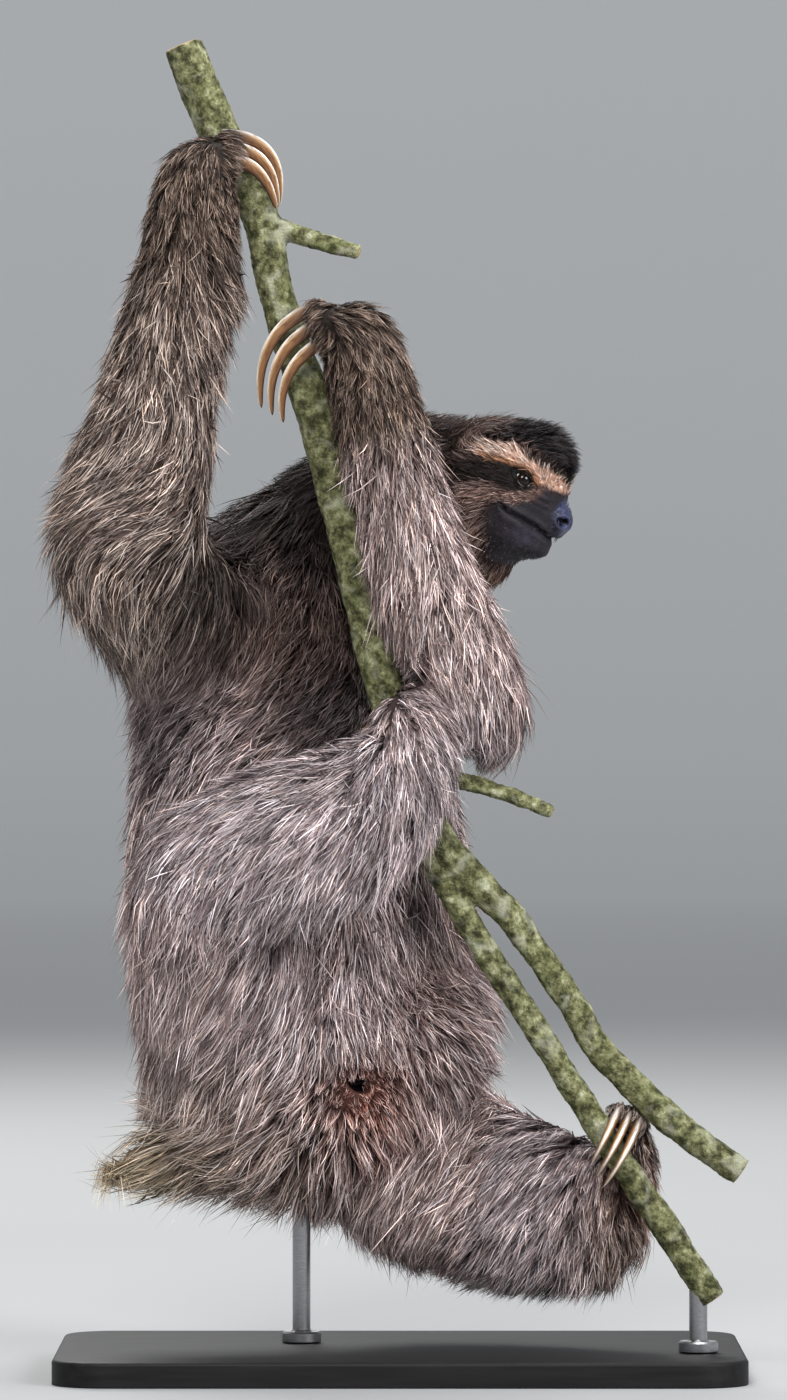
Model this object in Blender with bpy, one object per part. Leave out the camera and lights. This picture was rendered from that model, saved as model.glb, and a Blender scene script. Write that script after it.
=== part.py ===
"""A brown-throated three-toed sloth hugging a forked branch, as a still, life-size museum model.

The sloth is upright, chest to the branch, with its head turned to its left. The branch is a short cut length
that serves as its perch. A flat base and two rods carry the perch and the body.

Sizes and places are in millimetres. +Z is up, the floor is Z = 0, and the origin is the centre of the base's
underside. The branch stands in the plane Y = PERCH_Y, in front of the sloth, whose back is towards -X and +Y.
The animal's own right side is at -Y. Each body part is as large as its coat, out to the hair tips.
"""

import math

import bmesh
import bpy
import numpy as np
from mathutils import Matrix, Vector

MM = 0.001
GAP = 0.5  # left between a piece and its neighbour

# A body part is a tube through stations of (x, y, z, half width, half depth).
TRUNK = (
    (-60, 50, 470, 42, 44),
    (-69, 47, 440, 64, 61),
    (-74, 44, 398, 79, 74),
    (-64, 42, 345, 91, 80),
    (-60, 40, 305, 97, 82),
    (-53, 34, 235, 102, 84),
    (-51, 31, 180, 99, 79),
    (-57, 28, 140, 82, 66),
    (-60, 26, 122, 60, 50),
)
NECK = ((-62, 50, 438, 50, 48), (-38, 47, 464, 46, 44), (0, 35, 488, 45, 42), (22, 27, 492, 42, 39))
TAIL = ((-62, 34, 130, 28, 26), (-96, 34, 124, 24, 22), (-124, 33, 118, 19, 17), (-149, 32, 112, 13, 13))

LIMBS = {
    "upper_arm_right": ((-100, 24, 405, 44, 44), (-120, -22, 420, 43, 42), (-145, -84, 452, 41, 41)),
    "forearm_right": (
        (-146, -86, 447, 42, 41),
        (-141, -85, 495, 42, 38),
        (-131, -80, 543, 36, 34),
        (-118, -73, 604, 31, 29),
    ),
    "hand_right": (
        (-118, -73, 598, 31, 29),
        (-113, -70, 640, 27, 25),
        (-109, -68, 662, 23, 22),
        (-96, -65, 673, 13, 18),
    ),
    "upper_arm_left": (
        (-22, 66, 432, 40, 40),
        (8, 32, 412, 36, 36),
        (32, -2, 388, 31, 31),
        (49, -34, 365, 26, 27),
    ),
    "forearm_left": (
        (49, -38, 364, 26, 26),
        (40, -47, 388, 29, 28),
        (24, -55, 418, 32, 30),
        (10, -57, 450, 31, 28),
        (-6, -59, 512, 28, 26),
    ),
    "hand_left": (
        (-5, -59, 506, 28, 26),
        (-16, -61, 545, 26, 25),
        (-25, -62, 573, 23, 22),
        (-41, -64, 579, 13, 17),
    ),
    "thigh_right": ((-82, 2, 204, 54, 52), (-96, -28, 232, 50, 48), (-112, -62, 272, 43, 39)),
    "shank_right": (
        (-112, -64, 274, 43, 37),
        (-72, -77, 296, 44, 33),
        (-30, -76, 310, 43, 30),
        (2, -73, 330, 35, 26),
    ),
    "foot_right": (
        (2, -72, 334, 31, 25),
        (6, -68, 350, 27, 23),
        (6, -62, 363, 23, 20),
        (18, -45, 361, 14, 16),
        (9, -28, 356, 11, 13),
    ),
    "thigh_left": ((-12, 56, 154, 56, 54), (14, 50, 119, 55, 48), (44, 38, 101, 51, 43)),
    "shank_left": (
        (44, 38, 101, 51, 42),
        (68, 22, 94, 52, 38),
        (88, 4, 92, 50, 34),
        (104, -7, 90, 43, 29),
    ),
    "foot_left": (
        (105, -8, 90, 38, 27),
        (119, -18, 102, 24, 20),
        (129, -24, 122, 16, 15),
        (130, -28, 138, 10, 11),
    ),
}

# The head's own frame: its centre, its yaw from +X towards -Y and its pitch down. Points in it are (forward,
# towards its left, up).
HEAD_CENTRE = (58, 15, 488)
HEAD_YAW, HEAD_PITCH = 18, 12
HEAD_FORMS = (  # (centre, radii) of the swellings that make the head
    ((-5, 0, 7), (38, 34, 37)),  # braincase
    ((12, 0, 22), (26, 27, 23)),  # crown's thick cap of hair, which juts over the forehead
    ((13, 0, 5), (23, 25, 18)),  # brow
    ((22, 0, -8), (20, 14.5, 13.5)),  # muzzle
    ((14, 0, -19), (17, 15, 16)),  # lower jaw
    ((2, 15, -13), (22, 15, 22)),  # left cheek
    ((2, -15, -13), (22, 15, 22)),  # right cheek
    ((-6, 0, -31), (23, 24, 23)),  # throat
)
EYE = (17.5, 19.5, 9.5)
EYE_RADIUS = 5.2
SOCKET_RADIUS, SOCKET_OUT = 7.2, 4.6  # the opening in the coat round the eye, centred this far out from it

# A claw is an arc through its root, its bulge and its tip. These are each limb's middle claw, then the steps
# of those three points to the next claw.
CLAWS = {
    "hand_right": (
        ((-89.5, -67, 674), (-73.5, -62, 665), (-67.5, -51, 643.5)),
        ((0.5, 6, 7), (3, 6, 5), (0.5, 7, 1)),
    ),
    "hand_left": (
        ((-47, -65, 577), (-66.5, -64, 558), (-70, -53, 529.5)),
        ((-4, 0, 8.5), (-5.5, 0, 7.5), (-6, 0, 4)),
    ),
    "foot_right": (
        ((9, -28, 355), (-10, -28.5, 352), (-18, -43, 346)),
        ((-2.2, 0, 8), (-2.2, 0, 8), (-2.2, 0, 8)),
    ),
    "foot_left": (
        ((124.5, -42, 141.5), (117.2, -63, 128), (108.4, -50, 111.7)),
        ((-4.5, 0, 2.5), (-4, 0, 4), (-2.4, 0, 5.6)),
    ),
}
CLAW_HEIGHT, CLAW_WIDTH = 3.8, 2.2  # half its section at the root
CLAW_TIP, CLAW_TAPER = 0.15, 0.55  # the tip's share of that section, and the power the size falls by
CLAW_HELD = 0.15  # how far the claw runs on into the toe, as a share of its arc
CLAW_STATIONS, CLAW_SIDES = 6, 7

PERCH_Y = -45
LIMB_WOOD = (  # (x, y, z, radius) down the main limb and its right stem
    (-120, PERCH_Y, 733, 10.8),
    (-100, PERCH_Y, 686, 11.4),
    (-77, PERCH_Y, 640, 10.6),
    (-69, PERCH_Y, 600, 10),
    (-55, PERCH_Y, 554, 10.6),
    (-37, PERCH_Y, 497, 11),
    (-14, PERCH_Y, 400, 10.8),
    (6, PERCH_Y, 330, 10.4),
    (26, PERCH_Y, 288, 10),
    (60, PERCH_Y + 3, 255, 8.4),
    (97, PERCH_Y + 5, 202, 7.8),
    (110, PERCH_Y + 6, 180, 8.2),
    (149, PERCH_Y + 6, 141, 8.2),
    (188, PERCH_Y + 6, 113, 8),
)
STEM_WOOD = (  # the left stem
    (14, PERCH_Y - 1, 290, 6.5),
    (42, PERCH_Y, 243, 7.6),
    (71, PERCH_Y, 198, 7.4),
    (101, PERCH_Y, 151, 7.6),
    (128, PERCH_Y, 109, 7.6),
    (172, PERCH_Y, 43, 8),
)
TWIGS_WOOD = (
    ((-80, PERCH_Y, 637, 7.5), (-60, -46, 630, 5.8), (-22, -49, 619, 4.2)),
    ((4, PERCH_Y, 334, 5.5), (45, -42, 326, 4.8), (84, -40, 311, 4)),
)

BASE_LENGTH, BASE_DEPTH, BASE_HEIGHT = 380, 230, 14
BASE_CORNER, BASE_EDGE = 30, 2
ROD_RADIUS, COLLAR_RADIUS, COLLAR_HEIGHT = 5, 11, 6
ROD_FEET = {"stand_rod_perch": (164, PERCH_Y), "stand_rod_body": (-55, 26)}
ROD_TOPS = {"stand_rod_perch": 70, "stand_rod_body": 130}  # inside what each carries, before it is cut to fit

DOME = 0.75  # how far a tube's round end stands out, as a share of its radius


def vec(point):
    return Vector(point[:3]) * MM


def material(name, colour, roughness, metallic=0.0):
    """A Principled material from an sRGB colour such as 0x6B5A4C."""
    found = bpy.data.materials.get(name)
    if found:
        return found
    made = bpy.data.materials.new(name)
    made.use_nodes = True
    surface = made.node_tree.nodes["Principled BSDF"]
    channels = [(colour >> shift & 255) / 255 for shift in (16, 8, 0)]
    linear = [c / 12.92 if c <= 0.04045 else ((c + 0.055) / 1.055) ** 2.4 for c in channels]
    surface.inputs["Base Color"].default_value = (*linear, 1)
    surface.inputs["Roughness"].default_value = roughness
    surface.inputs["Metallic"].default_value = metallic
    made.diffuse_color = (*linear, 1)
    return made


def fur_material():
    return material("Sloth fur", 0x7A6A5C, 0.9)


def horn_material():
    return material("Claw horn", 0xB39368, 0.45)


def eye_material():
    return material("Glass eye", 0x140D0A, 0.05)


def bark_material():
    return material("Bark", 0x6F6B4A, 0.85)


def base_material():
    return material("Black lacquered wood", 0x17171A, 0.35)


def rod_material():
    return material("Brushed steel", 0x9A9A9C, 0.35, 1.0)


def new_object(name, mesh, surface, origin):
    """An object in the scene with its origin at a point of its own, and its mesh where it was built."""
    mesh.transform(Matrix.Translation(-vec(origin)))
    mesh.materials.clear()
    mesh.materials.append(surface)
    made = bpy.data.objects.new(name, mesh)
    made.location = vec(origin)
    bpy.context.scene.collection.objects.link(made)
    return made


def applied(source, add_modifiers):
    """A mesh's copy with modifiers applied to it."""
    carrier = bpy.data.objects.new("carrier", source)
    bpy.context.scene.collection.objects.link(carrier)
    add_modifiers(carrier)
    graph = bpy.context.evaluated_depsgraph_get()
    result = bpy.data.meshes.new_from_object(carrier.evaluated_get(graph))
    bpy.data.objects.remove(carrier)
    return result


def smooth_rows(stations, steps):
    """Rows on a Catmull-Rom curve through the stations, radii included."""
    rows = np.array(stations, float)
    padded = np.vstack([2 * rows[0] - rows[1], rows, 2 * rows[-1] - rows[-2]])
    found = []
    for before, start, end, after in zip(padded, padded[1:], padded[2:], padded[3:]):
        for t in np.arange(steps) / steps:
            bend = 2 * before - 5 * start + 4 * end - after
            twist = -before + 3 * start - 3 * end + after
            found.append(start + (t * (end - before) + t**2 * bend + t**3 * twist) / 2)
    return np.vstack([found, rows[-1]])


def ring_axes(centres, depth_axis):
    """Each ring's two axes: its width, across the path and the depth axis, and its depth, across both."""
    tangents = np.gradient(centres, axis=0)
    tangents /= np.linalg.norm(tangents, axis=1)[:, None]
    across = np.cross(tangents, depth_axis)
    for i in range(1, len(across)):
        if np.linalg.norm(across[i]) < 0.3:
            across[i] = across[i - 1]
        if across[i] @ across[i - 1] < 0:
            across[i] *= -1
    across -= (across * tangents).sum(axis=1)[:, None] * tangents
    across /= np.linalg.norm(across, axis=1)[:, None]
    return tangents, across, np.cross(tangents, across)


def tube(stations, sides=24, steps=5, dome=DOME, dome_levels=(60, 30), depth_axis=(0, 1, 0)):
    """A closed mesh through rows of (x, y, z, half width, half depth), with round ends, or flat with dome 0."""
    rows = smooth_rows(stations, steps)
    centres, width, depth = rows[:, :3], rows[:, 3], rows[:, 4]
    tangents, across, deep = ring_axes(centres, depth_axis)
    turn = 2 * np.pi * np.arange(sides) / sides

    def ring(i, out=0.0, share=1.0):
        middle = centres[i] + tangents[i] * out
        sideways = np.outer(np.cos(turn) * width[i] * share, across[i])
        return middle + sideways + np.outer(np.sin(turn) * depth[i] * share, deep[i])

    last = len(rows) - 1
    levels = dome_levels if dome else ()
    reach = [dome * (width[i] + depth[i]) / 2 for i in (0, last)]
    turns = [math.radians(level) for level in levels]
    rings = [ring(0, -reach[0] * math.sin(a), math.cos(a)) for a in turns]
    rings += [ring(i) for i in range(len(rows))]
    rings += [ring(last, reach[1] * math.sin(a), math.cos(a)) for a in turns[::-1]]

    bm = bmesh.new()
    loops = [[bm.verts.new(Vector(point) * MM) for point in points] for points in rings]
    for lower, upper in zip(loops, loops[1:]):
        for j in range(sides):
            bm.faces.new((lower[j - 1], lower[j], upper[j], upper[j - 1]))
    ends = (centres[0] - tangents[0] * reach[0], centres[last] + tangents[last] * reach[1])
    for loop, tip in zip((loops[0], loops[-1]), ends):
        pole = bm.verts.new(Vector(tip) * MM)
        for j in range(sides):
            bm.faces.new((loop[j - 1], loop[j], pole))
    bmesh.ops.recalc_face_normals(bm, faces=bm.faces)
    mesh = bpy.data.meshes.new("tube")
    bm.to_mesh(mesh)
    bm.free()
    return mesh


def ellipsoid(radii, place=Matrix.Identity(4), segments=24):
    bm = bmesh.new()
    bmesh.ops.create_uvsphere(bm, u_segments=segments, v_segments=segments // 2, radius=1)
    bmesh.ops.transform(bm, matrix=place @ Matrix.Diagonal((*(r * MM for r in radii), 1)), verts=bm.verts)
    mesh = bpy.data.meshes.new("ellipsoid")
    bm.to_mesh(mesh)
    bm.free()
    return mesh


def joined(meshes):
    bm = bmesh.new()
    for mesh in meshes:
        bm.from_mesh(mesh)
    result = bpy.data.meshes.new("joined")
    bm.to_mesh(result)
    bm.free()
    return result


def fused(meshes, voxel, triangles):
    """One even skin round overlapping forms, smoothed and brought down to about this many triangles."""

    def skin(carrier):
        remesh = carrier.modifiers.new("One skin", "REMESH")
        remesh.mode = "VOXEL"
        remesh.voxel_size = voxel * MM
        smooth = carrier.modifiers.new("Soften", "SMOOTH")
        smooth.iterations = 8

    full = applied(joined(meshes), skin)

    def coarsen(carrier):
        decimate = carrier.modifiers.new("Coarsen", "DECIMATE")
        decimate.ratio = triangles / (2 * len(full.polygons))

    return applied(full, coarsen)


def grown(mesh, distance=GAP):
    """The mesh pushed out along its normals, as a cutter that leaves a gap."""
    result = mesh.copy()
    for vertex in result.vertices:
        vertex.co += vertex.normal * distance * MM
    return result


def largest_island(mesh):
    """The mesh's largest connected piece, facing outwards."""
    bm = bmesh.new()
    bm.from_mesh(mesh)
    unseen = set(bm.verts)
    islands = []
    while unseen:
        island, edge = set(), [unseen.pop()]
        while edge:
            vertex = edge.pop()
            island.add(vertex)
            near = {e.other_vert(vertex) for e in vertex.link_edges} & unseen
            unseen -= near
            edge.extend(near)
        islands.append(island)
    keep = max(islands, key=len)
    bmesh.ops.delete(bm, geom=[v for v in bm.verts if v not in keep], context="VERTS")
    bmesh.ops.recalc_face_normals(bm, faces=bm.faces)
    bm.to_mesh(mesh)
    bm.free()
    return mesh


def combined(mesh, others, operation):
    """The mesh after one Boolean with each of the others, each time without the crumbs that a cut leaves."""
    for other in others:
        cutter = bpy.data.objects.new("cutter", other)
        bpy.context.scene.collection.objects.link(cutter)

        def boolean(carrier, cutter=cutter):
            step = carrier.modifiers.new("Boolean", "BOOLEAN")
            step.operation = operation
            step.object = cutter

        mesh = largest_island(applied(mesh, boolean))
        bpy.data.objects.remove(cutter)
    return mesh


def fitted(mesh, neighbours):
    """The mesh cut back, so that it meets its neighbours with a gap."""
    return combined(mesh, [grown(other) for other in neighbours], "DIFFERENCE")


def head_frame():
    """The matrix from the head's frame, in metres, to the world."""
    yaw, pitch = math.radians(HEAD_YAW), math.radians(HEAD_PITCH)
    forward = Vector((math.cos(yaw) * math.cos(pitch), -math.sin(yaw) * math.cos(pitch), -math.sin(pitch)))
    left = Vector((math.sin(yaw), math.cos(yaw), 0))
    turned = Matrix((forward, left, forward.cross(left))).transposed().to_4x4()
    return Matrix.Translation(vec(HEAD_CENTRE)) @ turned


def eye_place(side, out=0.0):
    """An eye's place in the head's frame, or a point further out on its line of sight."""
    sight = Vector((0.45, side * 0.87, 0.15)).normalized()
    return Matrix.Translation(vec((EYE[0], side * EYE[1], EYE[2])) + sight * out * MM)


def eye_meshes():
    return [ellipsoid([EYE_RADIUS] * 3, head_frame() @ eye_place(side), 12) for side in (-1, 1)]


def head_mesh(eyes, neck):
    forms = [ellipsoid(radii, head_frame() @ Matrix.Translation(vec(centre))) for centre, radii in HEAD_FORMS]
    openings = [head_frame() @ eye_place(side, SOCKET_OUT) for side in (-1, 1)]
    sockets = [ellipsoid([SOCKET_RADIUS] * 3, opening, 12) for opening in openings]
    return fitted(combined(fused(forms, 2, HEAD_TRIANGLES), sockets, "DIFFERENCE"), [*eyes, neck])


def claw_mesh(root, bulge, tip):
    """A tapering horn, higher than wide, on the parabola through its root, bulge and tip."""
    root, bulge, tip = (np.array(point, float) for point in (root, bulge, tip))
    stations = []
    for t in np.linspace(-CLAW_HELD, 1, CLAW_STATIONS):
        middle = root * (1 - t) * (1 - 2 * t) + bulge * 4 * t * (1 - t) + tip * t * (2 * t - 1)
        size = CLAW_TIP + (1 - CLAW_TIP) * (1 - max(t, 0)) ** CLAW_TAPER
        stations.append((*middle, CLAW_HEIGHT * size, CLAW_WIDTH * size))
    plane_normal = np.cross(bulge - root, tip - root)
    depth_axis = plane_normal / np.linalg.norm(plane_normal)
    return tube(stations, CLAW_SIDES, 1, dome=0.6, dome_levels=(45,), depth_axis=depth_axis)


def claw_meshes(limb):
    """The limb's three claws, the first one on the far side of the middle one by one step."""
    middle, steps = CLAWS[limb]
    return [
        claw_mesh(*(np.array(point) + np.array(step) * i for point, step in zip(middle, steps)))
        for i in (1, 0, -1)
    ]


def wood_mesh(stations, sides, steps):
    return tube([(*row, row[3]) for row in stations], sides, steps, dome=0)


def perch_mesh():
    """The main limb with its left stem and its twigs grown into it."""
    side_growth = [wood_mesh(STEM_WOOD, 9, 2), *(wood_mesh(twig, 8, 2) for twig in TWIGS_WOOD)]
    return combined(wood_mesh(LIMB_WOOD, 10, 2), side_growth, "UNION")


def rounded_plate_mesh():
    """The base: a plate with round corners and a small bevel round its top."""
    corner_steps = 6
    bm = bmesh.new()
    loops = []
    for inset, z in ((0, 0), (0, BASE_HEIGHT - BASE_EDGE), (BASE_EDGE, BASE_HEIGHT)):
        points = []
        for quarter in range(4):
            sign_x, sign_y = ((1, 1), (-1, 1), (-1, -1), (1, -1))[quarter]
            centre_x = sign_x * (BASE_LENGTH / 2 - BASE_CORNER)
            centre_y = sign_y * (BASE_DEPTH / 2 - BASE_CORNER)
            for step in range(corner_steps + 1):
                angle = math.radians(90 * (quarter + step / corner_steps))
                reach = BASE_CORNER - inset
                points.append((centre_x + reach * math.cos(angle), centre_y + reach * math.sin(angle), z))
        loops.append([bm.verts.new(vec(point)) for point in points])
    for lower, upper in zip(loops, loops[1:]):
        for j in range(len(lower)):
            bm.faces.new((lower[j - 1], lower[j], upper[j], upper[j - 1]))
    bm.faces.new(loops[0])
    bm.faces.new(loops[-1])
    bmesh.ops.recalc_face_normals(bm, faces=bm.faces)
    mesh = bpy.data.meshes.new("plate")
    bm.to_mesh(mesh)
    bm.free()
    return mesh


def rod_mesh(name):
    """A rod with a collar at its foot, which stands on the base and ends inside what it carries."""
    x, y = ROD_FEET[name]
    foot = BASE_HEIGHT + GAP
    profile = [(foot, COLLAR_RADIUS), (foot + COLLAR_HEIGHT, COLLAR_RADIUS)]
    profile += [(foot + COLLAR_HEIGHT, ROD_RADIUS), (ROD_TOPS[name], ROD_RADIUS)]
    sides = 16
    angles = [2 * math.pi * j / sides for j in range(sides)]
    turns = [(math.cos(angle), math.sin(angle)) for angle in angles]
    bm = bmesh.new()
    loops = []
    for z, radius in profile:
        loops.append([bm.verts.new(vec((x + radius * cos, y + radius * sin, z))) for cos, sin in turns])
    for lower, upper in zip(loops, loops[1:]):
        for j in range(sides):
            bm.faces.new((lower[j - 1], lower[j], upper[j], upper[j - 1]))
    bm.faces.new(loops[0])
    bm.faces.new(loops[-1])
    bmesh.ops.recalc_face_normals(bm, faces=bm.faces)
    mesh = bpy.data.meshes.new(name)
    bm.to_mesh(mesh)
    bm.free()
    return mesh


# What each limb's pieces give way to, from the body outwards.
GIVES_WAY = {
    "upper_arm_right": ("trunk",),
    "forearm_right": ("upper_arm_right",),
    "hand_right": ("forearm_right", "perch_branch"),
    "upper_arm_left": ("trunk", "neck"),
    "forearm_left": ("upper_arm_left", "perch_branch"),
    "hand_left": ("perch_branch", "forearm_left"),
    "thigh_right": ("trunk",),
    "shank_right": ("thigh_right", "trunk", "perch_branch"),
    "foot_right": ("shank_right", "upper_arm_left", "forearm_left", "perch_branch"),
    "thigh_left": ("trunk",),
    "shank_left": ("thigh_left",),
    "foot_left": ("shank_left", "perch_branch"),
}
# About how many triangles each piece has before it is cut to fit.
LIMB_TRIANGLES = {"upper_arm": 150, "forearm": 200, "hand": 190, "thigh": 160, "shank": 200, "foot": 190}
HEAD_TRIANGLES, TRUNK_TRIANGLES, NECK_TRIANGLES, TAIL_TRIANGLES = 1050, 560, 190, 120


def build():
    for old in list(bpy.data.objects):
        bpy.data.objects.remove(old)

    pieces = {"perch_branch": perch_mesh()}
    eyes = eye_meshes()
    torso = fused([tube(TRUNK, 32, dome=0.55)], 4, TRUNK_TRIANGLES)
    pieces["trunk"] = fitted(torso, [pieces["perch_branch"]])
    pieces["neck"] = fitted(fused([tube(NECK)], 3, NECK_TRIANGLES), [pieces["trunk"]])
    pieces["head"] = head_mesh(eyes, pieces["neck"])
    pieces["tail"] = fitted(fused([tube(TAIL)], 3, TAIL_TRIANGLES), [pieces["trunk"]])
    for name, stations in LIMBS.items():
        kind = name.rsplit("_", 1)[0]
        claws = claw_meshes(name) if name in CLAWS else []
        body = fused([tube(stations)], 2.5, LIMB_TRIANGLES[kind])
        pieces[name] = fitted(body, [pieces[other] for other in GIVES_WAY[name]] + claws)
        for number, claw in enumerate(claws, 1):
            origin = np.array(claw.vertices[0].co) / MM
            new_object(f"claw_{name}_{number}", claw, horn_material(), origin).data.shade_smooth()

    origins = {name: stations[0] for name, stations in LIMBS.items()}
    origins |= {"head": HEAD_CENTRE, "trunk": TRUNK[4], "neck": NECK[0], "tail": TAIL[0]}
    origins["perch_branch"] = LIMB_WOOD[0]
    for name, mesh in pieces.items():
        surface = bark_material() if name == "perch_branch" else fur_material()
        carried = mesh.copy()
        new_object(name, carried, surface, origins[name])
        carried.shade_smooth()
        carried.set_sharp_from_angle(angle=math.radians(50))
    for name, mesh, side in zip(("eye_right", "eye_left"), eyes, (-1, 1)):
        centre = (head_frame() @ eye_place(side)).translation / MM
        new_object(name, mesh, eye_material(), centre).data.shade_smooth()

    new_object("stand_base", rounded_plate_mesh(), base_material(), (0, 0, 0))
    carried_by = {"stand_rod_perch": "perch_branch", "stand_rod_body": "trunk"}
    for name, (x, y) in ROD_FEET.items():
        rod = fitted(rod_mesh(name), [pieces[carried_by[name]]])
        made = new_object(name, rod, rod_material(), (x, y, BASE_HEIGHT))
        made.data.shade_smooth()
        made.data.set_sharp_from_angle(angle=math.radians(40))


build()
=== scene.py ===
"""A brown-throated three-toed sloth hugging a forked branch: skin, coat, eyes, claws, perch and stand.

Sizes and places are in millimetres until MM turns them to metres. +Z is up, and the animal's right is at -Y.
"""

import math

import bmesh
import bpy
import numpy as np
from mathutils import Matrix, Vector, noise
from mathutils.bvhtree import BVHTree
from mathutils.kdtree import KDTree


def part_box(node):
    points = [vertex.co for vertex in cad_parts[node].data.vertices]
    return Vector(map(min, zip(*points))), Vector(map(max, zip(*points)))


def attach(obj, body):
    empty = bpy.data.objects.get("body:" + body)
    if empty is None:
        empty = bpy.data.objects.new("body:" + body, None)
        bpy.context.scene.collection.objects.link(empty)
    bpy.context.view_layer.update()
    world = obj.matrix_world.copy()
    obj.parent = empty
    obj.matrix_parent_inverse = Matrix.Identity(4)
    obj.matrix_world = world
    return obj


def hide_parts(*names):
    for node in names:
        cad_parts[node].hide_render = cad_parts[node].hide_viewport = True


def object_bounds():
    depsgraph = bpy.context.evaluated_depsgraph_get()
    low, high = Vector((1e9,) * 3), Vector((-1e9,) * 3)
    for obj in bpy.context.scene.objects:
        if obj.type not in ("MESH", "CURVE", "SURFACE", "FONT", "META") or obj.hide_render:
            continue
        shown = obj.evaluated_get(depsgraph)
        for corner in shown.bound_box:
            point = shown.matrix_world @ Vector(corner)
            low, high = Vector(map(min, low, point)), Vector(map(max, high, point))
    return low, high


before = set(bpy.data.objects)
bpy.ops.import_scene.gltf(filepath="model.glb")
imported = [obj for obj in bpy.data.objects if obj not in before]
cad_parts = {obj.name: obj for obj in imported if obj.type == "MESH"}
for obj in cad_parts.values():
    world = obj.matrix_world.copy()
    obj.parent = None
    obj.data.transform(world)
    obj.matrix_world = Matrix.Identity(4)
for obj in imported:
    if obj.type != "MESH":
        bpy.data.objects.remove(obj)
cad_box = [list(corner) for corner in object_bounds()]

MM = 0.001
DOWN = np.array([0.0, 0.0, -1.0])
rng = np.random.default_rng(11)


# ---- Colours and finishes ----


def linear(code):
    """An sRGB hex colour such as 0x6B5A4C as linear red, green and blue."""
    channels = [(code >> shift & 255) / 255 for shift in (16, 8, 0)]
    return [c / 12.92 if c <= 0.04045 else ((c + 0.055) / 1.055) ** 2.4 for c in channels]


def rgba(code):
    return (*linear(code), 1)


def set_socket(socket, value):
    """Links a socket to another one or to a node's first output in use, or sets its number or colour."""
    if isinstance(value, bpy.types.Node):
        value = next(output for output in value.outputs if output.enabled)
    if isinstance(value, bpy.types.NodeSocket):
        socket.id_data.links.new(value, socket)
    else:
        socket.default_value = value


def feed(shader, **values):
    """Sets the shader's sockets of these names, or links them."""
    for key, value in values.items():
        set_socket(shader.inputs[key.replace("_", " ")], value)


def finish(name, **values):
    """A new material and its Principled shader, with these values on its sockets."""
    made = bpy.data.materials.new(name)
    made.use_nodes = True
    shader = made.node_tree.nodes["Principled BSDF"]
    feed(shader, **values)
    return made, shader


def add(shader, kind, inputs, stops=(), **settings):
    """A node beside the shader, with its settings, its ramp's stops, and a value or link for each socket."""
    made = shader.id_data.nodes.new("ShaderNode" + kind)
    for key, value in settings.items():
        setattr(made, key, value)
    for place, colour in stops:
        stop = made.color_ramp.elements.new(place)
        stop.color = colour if isinstance(colour, tuple) else rgba(colour)
    if stops:
        made.color_ramp.elements.remove(made.color_ramp.elements[0])
        made.color_ramp.elements.remove(made.color_ramp.elements[-1])
    for key, value in inputs.items():
        set_socket(made.inputs[key], value)
    return made


MULTIPLIED = {"data_type": "RGBA", "blend_type": "MULTIPLY"}


def dress(piece, material, nodes=()):
    """Gives a piece its finish, hides the CAD nodes it stands for, and lets it ride on the row's one body."""
    piece.data.materials.append(material)
    if nodes:
        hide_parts(*nodes)
    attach(piece, "root")


# ---- The animal's parts ----

# How far the skin lies inside each part, how deep its coat lies, how long its hair is, and its colouring.
COAT = {
    "trunk": (12, 12, 36, "grey"),
    "neck": (4, 7, 14, "nape"),
    "head": (4, 4, 9, "nape"),
    "tail": (7, 8, 38, "buff"),
    "upper_arm_right": (11, 11, 34, "arm"),
    "forearm_right": (8.5, 8.5, 28, "arm"),
    "hand_right": (4.5, 5, 15, "dark"),
    "upper_arm_left": (10, 10, 32, "grey"),
    "forearm_left": (8, 8, 28, "grey"),
    "hand_left": (4.5, 5, 15, "dark"),
    "thigh_right": (12, 12, 36, "grey"),
    "shank_right": (9, 9, 30, "pale"),
    "foot_right": (5, 5.5, 19, "grey"),
    "thigh_left": (12, 12, 34, "grey"),
    "shank_left": (9, 10, 30, "pale"),
    "foot_left": (4, 5, 15, "arm"),
}
SKIN_DEPTH, COAT_DEPTH, HAIR_LENGTH, COLOURING = range(4)
FLESH = tuple(COAT)

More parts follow.
